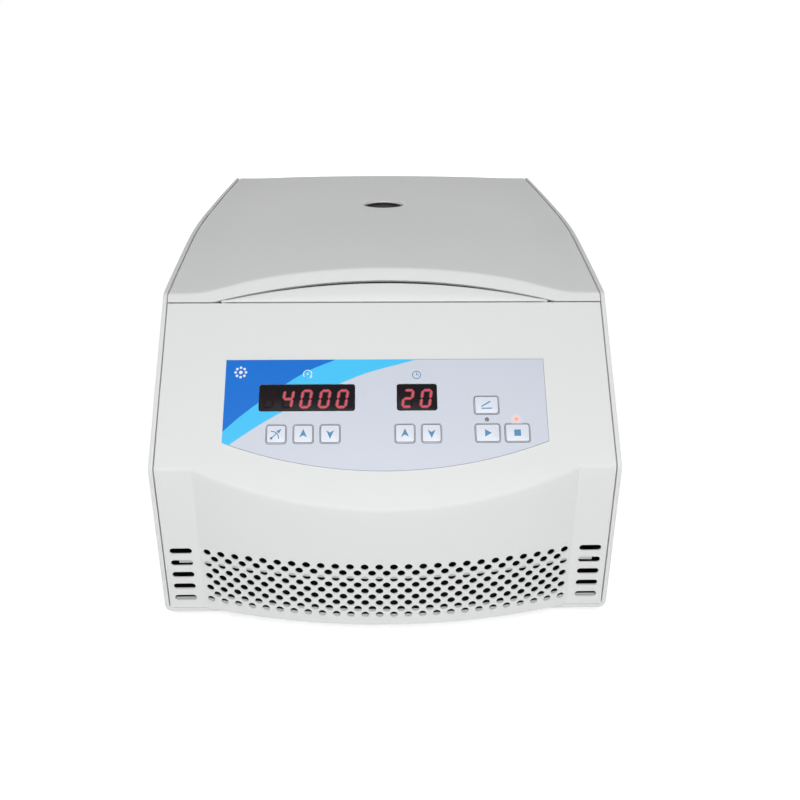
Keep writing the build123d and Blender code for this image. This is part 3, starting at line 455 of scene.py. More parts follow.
def round_edges(bm, edges, width, segments):
    bmesh.ops.bevel(
        bm, geom=edges, offset=width, segments=segments, profile=0.5, affect="EDGES", material=-1,
        clamp_overlap=True,
    )


def soften(bm, width, segments, angle, keep=lambda edge: True):
    """Rounds the edges that are sharper than an angle and that keep() picks."""
    round_edges(bm, [
        edge for edge in bm.edges
        if len(edge.link_faces) == 2 and edge.calc_face_angle(0) > radians(angle) and keep(edge)
    ], width, segments)


def turned(bm, profile, steps, place, closed=True):
    """Spins a profile of (radius, height) about Z, then puts it in place."""
    before = set(bm.verts)
    verts, edges = chain(bm, [(radius, 0, height) for radius, height in profile], closed)
    bmesh.ops.spin(
        bm, geom=verts + edges, cent=(0, 0, 0), axis=(0, 0, 1), angle=2 * pi, steps=steps,
        use_merge=True,
    )
    put(bm, before, place)


def slab(bm, outline, thickness, place, bevel=0.0, segments=2, both=False):
    """A flat form from an outline, raised by its thickness, with its top edge rounded."""
    before = set(bm.verts)
    face = bm.faces.new([bm.verts.new((x, y, 0)) for x, y in outline])
    if face.normal.z > 0:
        face.normal_flip()
    face.normal_update()
    out = raised(bm, [face], thickness)
    if bevel:
        lids = [item for item in out if isinstance(item, bmesh.types.BMFace)] + ([face] if both else [])
        round_edges(bm, list({edge for lid in lids for edge in lid.edges}), bevel, segments)
    put(bm, before, place)


def band(bm, outer, inner, thickness, place):
    """A flat ring between two outlines with as many points."""
    before = set(bm.verts)
    rings = [edge for outline in (outer, inner) for edge in chain(bm, [(x, y, 0) for x, y in outline])[1]]
    raised(bm, bmesh.ops.bridge_loops(bm, edges=rings)["faces"], thickness)
    put(bm, before, place)


def pierced(outlines, thickness, place):
    """A bmesh of a flat sheet from closed outlines, the inner ones as holes."""
    curve = bpy.data.curves.new("outlines", "CURVE")
    curve.dimensions, curve.fill_mode = "2D", "BOTH"
    curve.extrude = thickness / 2
    for outline in outlines:
        line = curve.splines.new("POLY")
        line.points.add(len(outline) - 1)
        for point, (x, y) in zip(line.points, outline):
            point.co = (x, y, 0, 1)
        line.use_cyclic_u = True
    drawn = in_scene("outlines", curve)
    mesh = shaped_mesh(drawn)
    bm = bmesh.new()
    bm.from_mesh(mesh)
    bpy.data.objects.remove(drawn)
    bpy.data.curves.remove(curve)
    bpy.data.meshes.remove(mesh)
    bmesh.ops.transform(bm, matrix=place, verts=bm.verts)
    return bm


def arc_points(x, y, radius, start, end, steps, tall=None):
    """Points along an arc, with angles in degrees; tall makes it part of an ellipse."""
    return [
        (x + radius * cos(radians(angle)), y + (tall or radius) * sin(radians(angle)))
        for angle in spread(start, end, steps)
    ]


def round_hole(x, y, radius, steps=32):
    return arc_points(x, y, radius, 0, 360 - 360 / steps, steps - 1)


def rounded(x, y, width, height, radius, steps=6):
    """The outline of a rectangle with round corners, centred on x, y."""
    across, up = width / 2 - radius, height / 2 - radius
    outline = []
    for side_x, side_y, start in ((1, 1, 0), (-1, 1, 90), (-1, -1, 180), (1, -1, 270)):
        outline += arc_points(x + side_x * across, y + side_y * up, radius, start, start + 90, steps)
    return outline


def opening(x, run, width, height, radius, steps):
    """The outline of the hole that a key or a display needs in the panel."""
    return rounded(x, run, width + 0.5, height + 0.5, radius, steps)


def eased(points, radius, steps=5):
    """A line through points with its inner corners rounded to a radius."""
    points = [Vector(point) for point in points]
    line = points[:1]
    for before, corner, after in zip(points, points[1:], points[2:]):
        come, go = (corner - before).normalized(), (after - corner).normalized()
        turn = come.angle(go)
        trim = radius * tan(turn / 2)
        centre = corner + (go - come).normalized() * radius / cos(turn / 2)
        start, end = corner - come * trim - centre, corner + go * trim - centre
        for share in spread(0, 1, steps):
            line.append(centre + (start * sin((1 - share) * turn) + end * sin(share * turn)) / sin(turn))
    return [tuple(point) for point in line + points[-1:]]


def bar(x0, y0, x1, y1, width):
    """The outline of a straight stroke."""
    along = Vector((x1 - x0, y1 - y0)).normalized() * width / 2
    side = Vector((-along.y, along.x))
    start, end = Vector((x0, y0)), Vector((x1, y1))
    return [tuple(corner) for corner in (start + side, start - side, end - side, end + side)]


def arc_stroke(x, y, radius, width, start, end, steps=16):
    """The outline of a curved stroke, with angles in degrees."""
    outer = arc_points(x, y, radius + width / 2, start, end, steps)
    return outer + arc_points(x, y, radius - width / 2, end, start, steps)


def arrow_head(x, y, angle, size):
    """The outline of an arrow head whose tip points along an angle in degrees."""
    return [
        (x + size * far * cos(radians(angle + turn)), y + size * far * sin(radians(angle + turn)))
        for far, turn in ((1.0, 0), (0.8, 130), (0.8, -130))
    ]


def through(points):
    """A smooth function through (position, value) points in rising order."""
    def value(at):
        last = len(points) - 2
        i = max(0, min(last, sum(point[0] <= at for point in points) - 1))
        (x0, y0), (x1, y1) = points[i], points[i + 1]
        before, after = points[max(i - 1, 0)], points[min(i + 2, len(points) - 1)]
        slope0 = (y1 - before[1]) / (x1 - before[0])
        slope1 = (after[1] - y0) / (after[0] - x0)
        t, gap = (at - x0) / (x1 - x0), x1 - x0
        return (
            (2 * t**3 - 3 * t**2 + 1) * y0 + (t**3 - 2 * t**2 + t) * gap * slope0
            + (3 * t**2 - 2 * t**3) * y1 + (t**3 - t**2) * gap * slope1
        )
    return value


def face_out(bm, way, weld=0.02):
    """Joins an open sheet's parts and turns its faces to look towards a direction, taken together."""
    bmesh.ops.remove_doubles(bm, verts=bm.verts, dist=weld)
    bmesh.ops.recalc_face_normals(bm, faces=bm.faces)
    total = sum((face.normal * face.calc_area() for face in bm.faces), Vector())
    if total.dot(Vector(way)) < 0:
        bmesh.ops.reverse_faces(bm, faces=bm.faces)


# ---- Shapes that several pieces follow ----

edge_height = through(((80.0, 206.8), (150.0, 214.1), (230.0, 219.8), (340.0, 215.4), (487.0, 206.0)))
arch_share = through((
    (0.0, 1.0), (0.12, 0.985), (0.31, 0.88), (0.48, 0.71), (0.63, 0.48), (0.76, 0.2), (0.84, 0.045),
    (0.92, 0.005), (1.0, 0.0),
))
SKIRT_DEPTH, SKIRT_FOOT, LID_BASE = 486.0, 179.0, 200.0
ARCH_HALF, ARCH_TOP = 123.5, 143.2
BROW_HALF, BROW_ARC, BROW_FOOT, BROW_TOP = 118.0, 121.0, 125.9, 141.2
DECK_FOOT = 196.5
WINDOW_DEPTH, WINDOW_RADIUS = 287.0, 18.3

# name: (x, run, width, height) on the control slope
KEYS = {
    **{f"key_{name}": (x, 24.6, 14.0, 13.8) for name, x in (
        ("force", -74.8), ("speed_up", -56.4), ("speed_down", -38.1), ("time_up", 13.0), ("time_down", 31.2),
    )},
    **{f"key_{name}": (x, run, 17.4, 13.7) for name, x, run in (
        ("open", 69.7, 45.0), ("start", 69.7, 24.6), ("stop", 90.1, 24.6),
    )},
}
DISPLAYS = {"speed_display": (-54.4, 51.3, 66.0, 19.6), "time_display": (21.7, 51.3, 27.6, 19.5)}
LAMPS = {"start_lamp": (69.6, 34.5), "stop_lamp": (89.9, 34.5)}
CROWN, CROWN_FALL = 12.45, 10.0 / 375.0


def lid_height(x, depth):
    """The lid's top: the sides' edge, and a crown that dies away to the rear and the sides."""
    crown = CROWN - (depth - 112.0) * CROWN_FALL
    return edge_height(depth) + crown * arch_share(abs(x) / INSERT_HALF)


def lid_front(x):
    """The depth at which the lid's top meets the plane of the control slope."""
    depth = 100.0
    for _ in range(24):
        depth = (lid_height(x, depth) - CREASE) / tan(SLOPE)
    return depth


def low_arch(x, half, foot, top):
    """The run of a flat arc from foot, at half, to top in the middle."""
    rise = top - foot
    radius = (half**2 + rise**2) / (2 * rise)
    return top - radius * (1 - max(1 - (x / radius) ** 2, 0) ** 0.5)


# ---- Cabinet ----

SIDE, SHEET, FOLD = 160, 3.0, 6


def cabinet():
    """The folded sheet that makes the bottom and both sides, with its free edges rounded."""
    # The sides' edge, as (depth, height): up the front, up the slope and back along the lid.
    front = lid_front(INSERT_HALF)
    corners = ((0, 60), (0, CREASE), (front, edge_height(front)), (front + 40, edge_height(front + 40)))
    path = eased(corners, 8.0)
    rise = [tuple(Vector(path[6]).lerp(Vector(path[7]), share)) for share in spread(0, 1, 10)[1:-1]]
    path = path[1:7] + rise + path[7:-1]
    path += [(depth, edge_height(depth)) for depth in spread(front + 40, 487, 24)]
    # Half of the sheet's section, from a side's edge down to the middle of the floor.
    shape = [("wall", share) for share in spread(1, 0, 12)]
    shape += [("corner", radians(turn)) for turn in spread(0, 90, 6)[1:]]
    shape += [("floor", x) for x in spread(FOLD - SIDE, 0, 10)[1:]]
    last = 2 * len(shape) - 2

    def place(column, row):
        step = round(column)
        side = -1 if step < len(shape) else 1
        kind, value = shape[step if side < 0 else last - step]
        depth, top = path[round(row)]
        if kind == "wall":
            return spot(depth, between(FOLD, top, value), side * SIDE)
        if kind == "corner":
            return spot(depth, FOLD - FOLD * sin(value), side * (SIDE - FOLD + FOLD * cos(value)))
        return spot(depth, 0, -side * value)

    bm = bmesh.new()
    mapped(bm, list(range(last + 1)), list(range(len(path))), place)
    face_out(bm, (0, 0, -1), 0.01)
    bmesh.ops.solidify(bm, geom=bm.faces[:], thickness=SHEET)
    soften(bm, 1.1, 3, 60)
    obj = piece("cabinet", bm, "cabinet_enamel", "cabinet_paint", "cabinet_shell", closed=False)

    def behind_grille(at, way):
        """The inner faces that show through the front's holes, which take a near-black as painted shade."""
        return abs(at.x) < SIDE - 2.8 and 2.9 < at.z - FOOT < 96 and 12 < at.y - FRONT_Y < 468

    line_inside(obj, "painted_shade_dark", behind_grille)


cabinet()


# ---- Front moulding ----

GRILLE_PITCH, GRILLE_ROW, GRILLE_ROWS, GRILLE_LOW = 10.05, 5.0, 9, 12.4
HOLE_RADIUS, HOLE_STRETCH = 2.46, 1.12
SLOT_X, SLOT_LONG, SLOT_TALL = 144.2, 15.6, 4.7
GRILLE_FOOT = GRILLE_LOW - GRILLE_ROW / 2
GRILLE_TOP = GRILLE_FOOT + GRILLE_ROW * GRILLE_ROWS
GRILLE_HALF = 13 * GRILLE_PITCH
CREASE_RADIUS = 5.0
FRONT_FOOT, FRONT_WALL = 3.5, 1.1
RETURN, RETURN_TOP, RETURN_RUN = 13, 112.35, 5.65


def bulge(x, inset=0.0):
    if abs(x) >= BULGE_HALF:
        return -inset
    return ((BULGE_RADIUS - inset) ** 2 - x**2) ** 0.5 - (BULGE_RADIUS - BULGE_DEPTH)


def front_skin(x, path):
    """The moulding's skin. Up to the grille's top, path is a height; each whole step after it
    is the plain upright part, the rounded crease and the control slope."""
    if abs(abs(x) - GRILLE_HALF) < 0.01:
        x = BULGE_HALF if x > 0 else -BULGE_HALF
    ahead = bulge(x)
    if path <= GRILLE_TOP + 0.001:
        return spot(-ahead, path, x)
    step = path - GRILLE_TOP
    turn = pi / 2 - SLOPE
    trim = CREASE_RADIUS * tan(turn / 2)
    crease = CREASE - ahead * tan(SLOPE)
    if step <= 1:
        return spot(-ahead, between(GRILLE_TOP, crease - trim, step), x)
    if step <= 2:
        angle = pi - turn * (step - 1)
        back, up = CREASE_RADIUS * cos(angle), CREASE_RADIUS * sin(angle)
        return spot(CREASE_RADIUS - ahead + back, crease - trim + up, x)
    return on_slope(x, between(trim - ahead / cos(SLOPE), SEAM_RUN, step - 2))


def return_edge(x, path):
    """The inner edge of the moulding's side returns."""
    step = path - GRILLE_TOP
    if step <= 1.0001:
        return spot(RETURN, min(front_skin(x, path).z - FOOT, RETURN_TOP), x)
    if step <= 2.0001:
        return spot(RETURN, RETURN_TOP, x)
    return on_slope(x, between(RETURN_RUN, SEAM_RUN, step - 2), -RETURN)


def grille_brick(bm):
    """One hole in the middle of its brick of wall, as a flat ring of faces; returns its parts."""
    steps = 24
    shares_x, shares_y = (1, 1, 1, 0.75, 0.5, 0.25, 0), (0, 0.5, 1, 1, 1, 1, 1)
    hole = bmesh.ops.create_circle(bm, segments=steps, radius=HOLE_RADIUS)["verts"]
    bmesh.ops.scale(bm, vec=(HOLE_STRETCH, 1, 1), verts=hole)
    rim = bmesh.ops.create_circle(bm, segments=steps, radius=GRILLE_PITCH)["verts"]
    for vert in rim:
        step = round(atan2(vert.co.y, vert.co.x) / (2 * pi) * steps) % steps
        side_x = 1 if step <= 6 or step >= 18 else -1
        side_y = 1 if step <= 12 else -1
        fold = step % 12 if step % 12 <= 6 else 12 - step % 12
        vert.co = (side_x * shares_x[fold] * GRILLE_PITCH / 2, side_y * shares_y[fold] * GRILLE_ROW / 2, 0)
    edges = {edge for vert in hole + rim for edge in vert.link_edges}
    faces = bmesh.ops.bridge_loops(bm, edges=list(edges))["faces"]
    return hole + rim + list(edges) + faces


def grille(bm):
    """The staggered rows of bricks, with half bricks of plain wall to even their ends."""
    pattern = grille_brick(bm)
    for row in range(GRILLE_ROWS):
        count = 26 - row % 2
        height = GRILLE_LOW + row * GRILLE_ROW
        for column in range(count):
            copy = bmesh.ops.duplicate(bm, geom=pattern)["geom"]
            move = ((column - (count - 1) / 2) * GRILLE_PITCH, height, 0)
            bmesh.ops.translate(bm, vec=move, verts=only_verts(copy))
        if row % 2:
            for side in (-1, 1):
                outer = [side * x for x in spread(GRILLE_HALF - GRILLE_PITCH / 2, GRILLE_HALF, 4)]
                grid_sheet(bm, sorted(outer), spread(height - GRILLE_ROW / 2, height + GRILLE_ROW / 2, 4))
    bmesh.ops.delete(bm, geom=only_verts(pattern), context="VERTS")


def moulded_front():
    bm = bmesh.new()
    grille(bm)
    middle = spread(-GRILLE_HALF, GRILLE_HALF, 208)
    upper = spread(GRILLE_TOP, GRILLE_TOP + 1, 8) + spread(GRILLE_TOP + 1, GRILLE_TOP + 2, 5)[1:]
    upper += spread(GRILLE_TOP + 2, GRILLE_TOP + 3, 8)[1:]
    lower = [FRONT_FOOT, 5.5, 7.7, GRILLE_FOOT]
    grid_sheet(bm, middle, upper)
    grid_sheet(bm, middle, lower)
    beside = lower + spread(GRILLE_FOOT, GRILLE_TOP, 36)[1:] + upper[1:]
    outer = (GRILLE_HALF, 133, 139, 145, 151, 155.2, INSERT_HALF)
    for side in (-1, 1):
        grid_sheet(bm, sorted(side * x for x in outer), beside)
    for vert in bm.verts:
        vert.co = front_skin(vert.co.x, vert.co.y)
    across = sorted(set(middle) | {side * x for side in (-1, 1) for x in outer})
    mapped(
        bm, across, [0, 1],
        lambda x, back: spot(RETURN, FRONT_FOOT, x) if back > 0.5 else front_skin(x, FRONT_FOOT),
    )
    for x in (-INSERT_HALF, INSERT_HALF):
        mapped(
            bm, [0, 1], beside,
            lambda back, path: return_edge(x, path) if back > 0.5 else front_skin(x, path),
        )
    face_out(bm, (0, -1, 0.3))
    bmesh.ops.solidify(bm, geom=bm.faces[:], thickness=FRONT_WALL)

    soften(bm, 0.7, 2, 60, lambda edge: all(
        abs(vert.co.x) > INSERT_HALF - 0.1 and vert.co.y < FRONT_Y + 95 for vert in edge.verts
    ))
    knife = bmesh.new()
    for side in (-1, 1):
        for row in range(0, GRILLE_ROWS, 2):
            slot_hole(knife, side * SLOT_X, GRILLE_LOW + row * GRILLE_ROW)
    for place in (*KEYS.values(), *DISPLAYS.values()):
        slab(knife, opening(*place, 1.3, 4), 10, slope(out=-5))
    obj = piece(
        "front_moulding", bm, "shell_enamel", "fascia_plastic", "front_fascia",
        knife=knife, closed=False, sharp=16,
    )

    def inner_skin(at, way):
        """The back of the grille's wall and the upper side of the foot, which take a near-black as painted
        shade.
        """
        return way.y > 0.75 and at.z < 115 and at.y < FRONT_Y + 4 or way.z > 0.9 and at.z < FOOT + 8

    line_inside(obj, "painted_shade_dark", inner_skin)


def slot_hole(bm, x, height):
    """A cutter for one round-ended slot in the flats of the front."""
    outline = rounded(x, height, SLOT_LONG, SLOT_TALL, SLOT_TALL / 2 - 0.01, 8)
    upright = Matrix(((1, 0, 0, 0), (0, 0, -1, FRONT_Y + 10), (0, 1, 0, FOOT), (0, 0, 0, 1)))
    slab(bm, outline, 15, upright)


def inner_slats():
    """Level slats that stand just behind the holes, inside the moulding, in a grey darker than the moulding's
    white as painted shade.
    """
    bm = bmesh.new()
    line = spread(-129, 129, 60)
    outline = [(x, -bulge(x, FRONT_WALL + 0.4)) for x in line]
    outline += [(x, -bulge(x, FRONT_WALL + 1.0)) for x in reversed(line)]
    for low, high in ((5.0, 11.3), (14.3, 15.6), (41.9, 44.2)):
        slab(bm, outline, high - low, level(low))
    for side in (-1, 1):
        for low, high, far in ((5.0, 11.3, 153), (18.5, 19.4, 153), (41.3, 43.8, 146.5)):
            outline = ((134, 2.0), (far, 2.0), (far, 2.6), (134, 2.6))
            slab(bm, [(side * x, depth) for x, depth in outline], high - low, level(low))
    piece("inner_slats", bm, "slat_painted_shade_grey", "fascia_plastic", "front_fascia")


moulded_front()
inner_slats()


# ---- Deck, brow and chamber ----

def deck():
    half = [(150, 87.4), (150, 98.5), (157, 98.5), (157, 481)]
    outline = half + [(-x, depth) for x, depth in reversed(half)]
    bolt_slot = rounded(0, 129.5, 8, 19, 1.0, 3)
    plate = pierced((outline, round_hole(0, WINDOW_DEPTH, 140, 128), bolt_slot), 3.0, level(DECK_FOOT))
    piece("deck_plate", plate, "deck_grey", "deck_plastic", "top_deck")

    def place(x, row):
        """Across the brow: its lower edge, its face, its rounded top edge and its top wall."""
        top = low_arch(x, BROW_ARC, BROW_FOOT, BROW_TOP)
        reach = max(-26.0, (DECK_FOOT + 1 - CREASE - top * sin(SLOPE)) / cos(SLOPE))
        step = round(row)
        if step == 0:
            return on_slope(x, BROW_FOOT, -3)
        if step <= 3:
            turn = radians(90 - 45 * (step - 1))
            return on_slope(x, BROW_FOOT + 0.3 * (1 - sin(turn)), -0.3 + 0.3 * cos(turn))
        if step == 4:
            return on_slope(x, between(BROW_FOOT, top, 0.5))
        radius = min(1.0, (top - BROW_FOOT) / 3)
        if step <= 9:
            turn = radians(22.5 * (step - 5))
            return on_slope(x, top - radius + radius * sin(turn), -radius + radius * cos(turn))
        return on_slope(x, top, reach)

    bm = bmesh.new()
    mapped(bm, spread(-BROW_HALF, BROW_HALF, 60), list(range(11)), place)
    face_out(bm, (0, -1, 1), 0.005)
    bmesh.ops.solidify(bm, geom=bm.faces[:], thickness=2.0)
    piece("deck_brow", bm, "shell_enamel", "deck_plastic", "top_deck", closed=False)


def chamber():
    bm = bmesh.new()
    turned(bm, [
        (22.5, 80), (24, 80), (24, 74), *arc_points(126, 88, 14, -90, 0, 8), (140, 195), (149, 195),
        (149, 193.5), (141.5, 193.5), *arc_points(126, 88, 15.5, 0, -90, 8), (22.5, 72.5),
    ], 128, axial())
    piece("bowl", bm, "chamber_steel", "chamber_steel", "chamber_bowl")
    bm = bmesh.new()
    turned(bm, [(142.5, 198), (148.5, 198), *arc_points(145.5, 199.2, 3, 0, 180, 8, 1.4)], 128, axial())
    piece("rim_gasket", bm, "seal_black", "seal_rubber", "chamber_gasket")


deck()
chamber()


# ---- Lid ----

WELL_HALF, WELL_CELLS, RIM_ROUND, RIM_LIFT = 24.0, 8, 0.7, 0.5
WELL_FOOT, PANE_FOOT = 222.0, 219.8


def lid_depth(x, row):
    """Depth along the lid's top: rows 0 to 1 lead to the window, 1 to 2 pass it, 2 to 3 end at the rear."""
    marks = (lid_front(x), WINDOW_DEPTH - WELL_HALF, WINDOW_DEPTH + WELL_HALF, SKIRT_DEPTH)
    step = min(int(row + 0.0001), 2)
    return between(marks[step], marks[step + 1], row - step)


def around_window(column, ring):
    """Round the window: up the well, over its rim and out to the square opening in the lid's top."""
    side, along = divmod(round(column) % (4 * WELL_CELLS), WELL_CELLS)
    across = WELL_HALF * (2 * along / WELL_CELLS - 1)
    square = ((WELL_HALF, across), (-across, WELL_HALF), (-WELL_HALF, -across), (across, -WELL_HALF))[side]
    angle = atan2(square[1], square[0])
    ring = round(ring)
    turn = radians(18 * min(ring, 5))
    radius = WINDOW_RADIUS + RIM_ROUND * (1 - cos(turn))
    x, y = radius * cos(angle), radius * sin(angle)
    if ring >= 6:
        share = (ring - 6) / 4
        x, y = between(x, square[0], share), between(y, square[1], share)
        lift = (RIM_LIFT, RIM_LIFT * 0.3, 0, 0, 0)[ring - 6]
    else:
        lift = RIM_LIFT - RIM_ROUND * (1 - sin(turn))
    top = lid_height(x, WINDOW_DEPTH + y) + lift
    return spot(WINDOW_DEPTH + y, top if ring else WELL_FOOT, x)


def crowned_lid():
    bm = bmesh.new()
    half = spread(WELL_HALF, ARCH_HALF, 25) + spread(ARCH_HALF, INSERT_HALF, 9)[1:]
    columns = [-x for x in reversed(half)] + spread(-WELL_HALF, WELL_HALF, WELL_CELLS)[1:-1] + half
    rows = spread(0, 1, 40) + spread(1, 2, WELL_CELLS)[1:] + spread(2, 3, 32)[1:]
    grid_sheet(bm, columns, rows)
    hole = []
    for face in bm.faces:
        x, row, _ = face.calc_center_median()
        if abs(x) < WELL_HALF and 1 < row < 2:
            hole.append(face)
    bmesh.ops.delete(bm, geom=hole, context="FACES")
    for vert in bm.verts:
        depth = lid_depth(vert.co.x, vert.co.y)
        vert.co = spot(depth, lid_height(vert.co.x, depth), vert.co.x)
    mapped(bm, list(range(4 * WELL_CELLS + 1)), list(range(11)), around_window)

    def front_band(x, share):
        return on_slope(x, between(arch_run(x), lid_front(x) / cos(SLOPE), share))

    def wall(x, depth, share):
        """Down from the lid's top to the base of its sides, and on to the skirt's foot below 0."""
        end = lid_height(x, depth) if share >= 0 else 2 * LID_BASE - SKIRT_FOOT
        return spot(depth, between(LID_BASE, end, share), x)

    mapped(bm, columns, spread(0, 1, 4), front_band)
    mapped(bm, columns, [-1, -0.5] + spread(0, 1, 3), lambda x, share: wall(x, SKIRT_DEPTH, share))
    for x in (-INSERT_HALF, INSERT_HALF):
        mapped(bm, rows, spread(0, 1, 3), lambda row, share: wall(x, lid_depth(x, row), share))
    face_out(bm, (0, 0, 1))

    def off_window(edge):
        x, y, _ = edge.verts[0].co
        return Vector((x, y - AXIS_Y)).length > 30

    soften(bm, 1.2, 3, 24, off_window)
    bmesh.ops.solidify(bm, geom=bm.faces[:], thickness=2.5)
    piece("lid_cover", bm, "shell_enamel", "lid_plastic", "lid_shell", body="lid", closed=False, sharp=30)


def arch_run(x):
    """The band's lower edge: straight at the sides and arched over the brow."""
    return LID_RUN if abs(x) >= ARCH_HALF else low_arch(x, ARCH_HALF, LID_RUN, ARCH_TOP)


def lid_fittings():
    bm = bmesh.new()
    turned(bm, (
        (15, 201), (19.5, 201), (19.5, 223.5), (16.6, 223.5), (16.6, PANE_FOOT), (15, PANE_FOOT),
    ), 64, axial())
    # The well's inside is near-black: painted shade under the window.
    piece("window_well", bm, "painted_shade_dark", "lid_plastic", "lid_shell", body="lid")
    bm = bmesh.new()
    turned(bm, (
        (0, PANE_FOOT), (16.2, PANE_FOOT), (16.5, 220.1), (16.5, 222.7), (16.2, 223.0), (0, 223.0),
    ), 64, axial(), closed=False)
    piece("window_disc", bm, "glass_smoked", "window_glass", "lid_window", body="lid")


crowned_lid()
lid_fittings()


# ---- Hinges ----

def screws(bm, radius, depth, places):
    """Low domed screw heads with round sockets, on a face that looks back, at (x, height) places."""
    dome = ((0, 0.12), (0.42, 0.12), (0.42, 0.5), (0.72, 0.46), (0.93, 0.3), (1, 0))
    profile = [(radius * out, radius * up) for out, up in dome] + [(radius, -0.4), (0, -0.4)]
    for x, height in places:
        turned(bm, profile, 20, rear(x, depth, height), closed=False)


REAR_FACE, ROW, PIVOT = 481, 42, (490, 172)


def hinges():
    leaf, plate, paint = 188.5, 133, ("cabinet_enamel", "hinge_paint")
    for side, x in (("left", -105.0), ("right", 105.0)):
        bm = bmesh.new()
        slab(bm, rounded(0, 0, 48, 15, 2, 4), 2.0, rear(x, SKIRT_DEPTH, leaf), 0.4, both=True)
        knuckle = [(486.2, 184), (487.8, 184), (488, 181), *arc_points(*PIVOT, 5, 60, -240, 30), (486, 180)]
        slab(bm, knuckle, 18.0, side_on(x - 9), 0.35, both=True)
        screws(bm, 3.0, 488, ((x - 17, leaf), (x + 17, leaf)))
        piece(f"lid_hinge_leaf_{side}", bm, *paint, f"hinge_leaf_{side}", body="lid")
        bm = bmesh.new()
        stand = [(481, 140), (484, 140), (493.5, 161)]
        cheek = stand + arc_points(*PIVOT, 5, -22, 145, 20) + [(481, 165)]
        for start in (x - 24, x + 9.4):
            slab(bm, cheek, 14.6, side_on(start), 0.35, both=True)
        slab(bm, stand + [(493.8, 165), (481, 165)], 19.2, side_on(x - 9.6), 0.2, both=True)
        slab(bm, rounded(0, 0, 48, 18, 2, 4), 2.6, rear(x, REAR_FACE, plate), 0.4, both=True)
        screws(bm, 3.0, REAR_FACE + 2.6, ((x - 17, plate), (x + 17, plate)))
        piece(f"cabinet_hinge_{side}", bm, *paint, f"hinge_bracket_{side}")


hinges()


# ---- Rotor ----

def rotor_turnings():
    bm = bmesh.new()
    turned(bm, ((6, 94), (17, 94), (18, 95), (18, 146.5), (17.3, 148.8), (15.5, 150), (6, 150)), 64, axial())
    piece("hub_turning", bm, "rotor_alloy", "rotor_alloy", "rotor_hub", body="rotor")
    profile = arc_points(0, -80.5, 10, 0, -90, 6) + arc_points(0, -83.4, 11.6, -90, 0, 6) + [
        (11.6, 0), (13.2, 0), (13.5, 0.3), (13.5, 1.0), (12.8, 1.5), (10.6, 1.5), (10, 1.0),
    ]
    for number in range(1, 9):
        angle, tilt = radians(45 * number - 22.5), radians(40)
        outward = Vector((cos(angle), sin(angle), 0))
        along = -cos(tilt) * outward + Vector((0, 0, sin(tilt)))
        across = Vector((-sin(angle), cos(angle), 0))
        place = Matrix((across, along.cross(across), along)).transposed().to_4x4()
        place = axial() @ Matrix.Translation(46 * outward + Vector((0, 0, 152))) @ place
        bm = bmesh.new()
        turned(bm, profile, 40, place, closed=False)
        name = f"tube_sleeve_{number}"
        piece(f"steel_{name}", bm, "sleeve_steel", "sleeve_steel", name, body="rotor")


rotor_turnings()


# ---- Control panel ----

FILM_TOP, PRINT, INK = 0.5, 0.52, 0.04
FILM_HALF, FILM_ROOF, FILM_EDGE = 111.5, 80.0, 0.35
WINDOW_CORNER = (1.9, 5)


def film_foot(x):
    return low_arch(x, FILM_HALF, 18.5, -2.1)


def edge_points(points, count=16):
    """A smooth line through points in rising x."""
    line = through(points)
    return [(x, line(x)) for x in spread(points[0][0], points[-1][0], count)]


def film_outline(inset=0.0):
    """The film's straight top and sides and its curved foot, drawn in by an inset."""
    half = FILM_HALF - inset
    corners = [(-half, FILM_ROOF - inset), (half, FILM_ROOF - inset)]
    return corners + [(x * half / FILM_HALF, film_foot(x) + inset) for x in spread(FILM_HALF, -FILM_HALF, 48)]


def film():
    outlines = [film_outline()] + [opening(*place, *WINDOW_CORNER) for place in DISPLAYS.values()]
    outlines += [opening(*place, 2.2, 5) for place in KEYS.values()]
    outlines += [round_hole(x, run, 1.5, 20) for x, run in LAMPS.values()]
    sheet = pierced(outlines, FILM_TOP, slope(out=FILM_TOP / 2))
    piece("panel_film", sheet, "film_grey", "panel_film", "panel_overlay")
    bm = bmesh.new()
    # A thin grey band round the film's edge: painted shade along the edge's step.
    band(bm, film_outline(), film_outline(FILM_EDGE), 0.02, slope(out=FILM_TOP - 0.015))
    piece("film_edge", bm, "film_edge_painted_shade", "panel_film", "panel_overlay")


def printed(name, outlines, material, out=PRINT, knife=None, body="cabinet", slot="panel_film"):
    """Thin printed shapes from outlines in (x, run), each up to out above the slope's skin."""
    bm = bmesh.new()
    for outline in outlines:
        slab(bm, outline, INK, slope(out=out - INK))
    node = "panel_overlay" if body == "cabinet" else body
    piece(name, bm, material, slot, node, body=body, knife=knife)


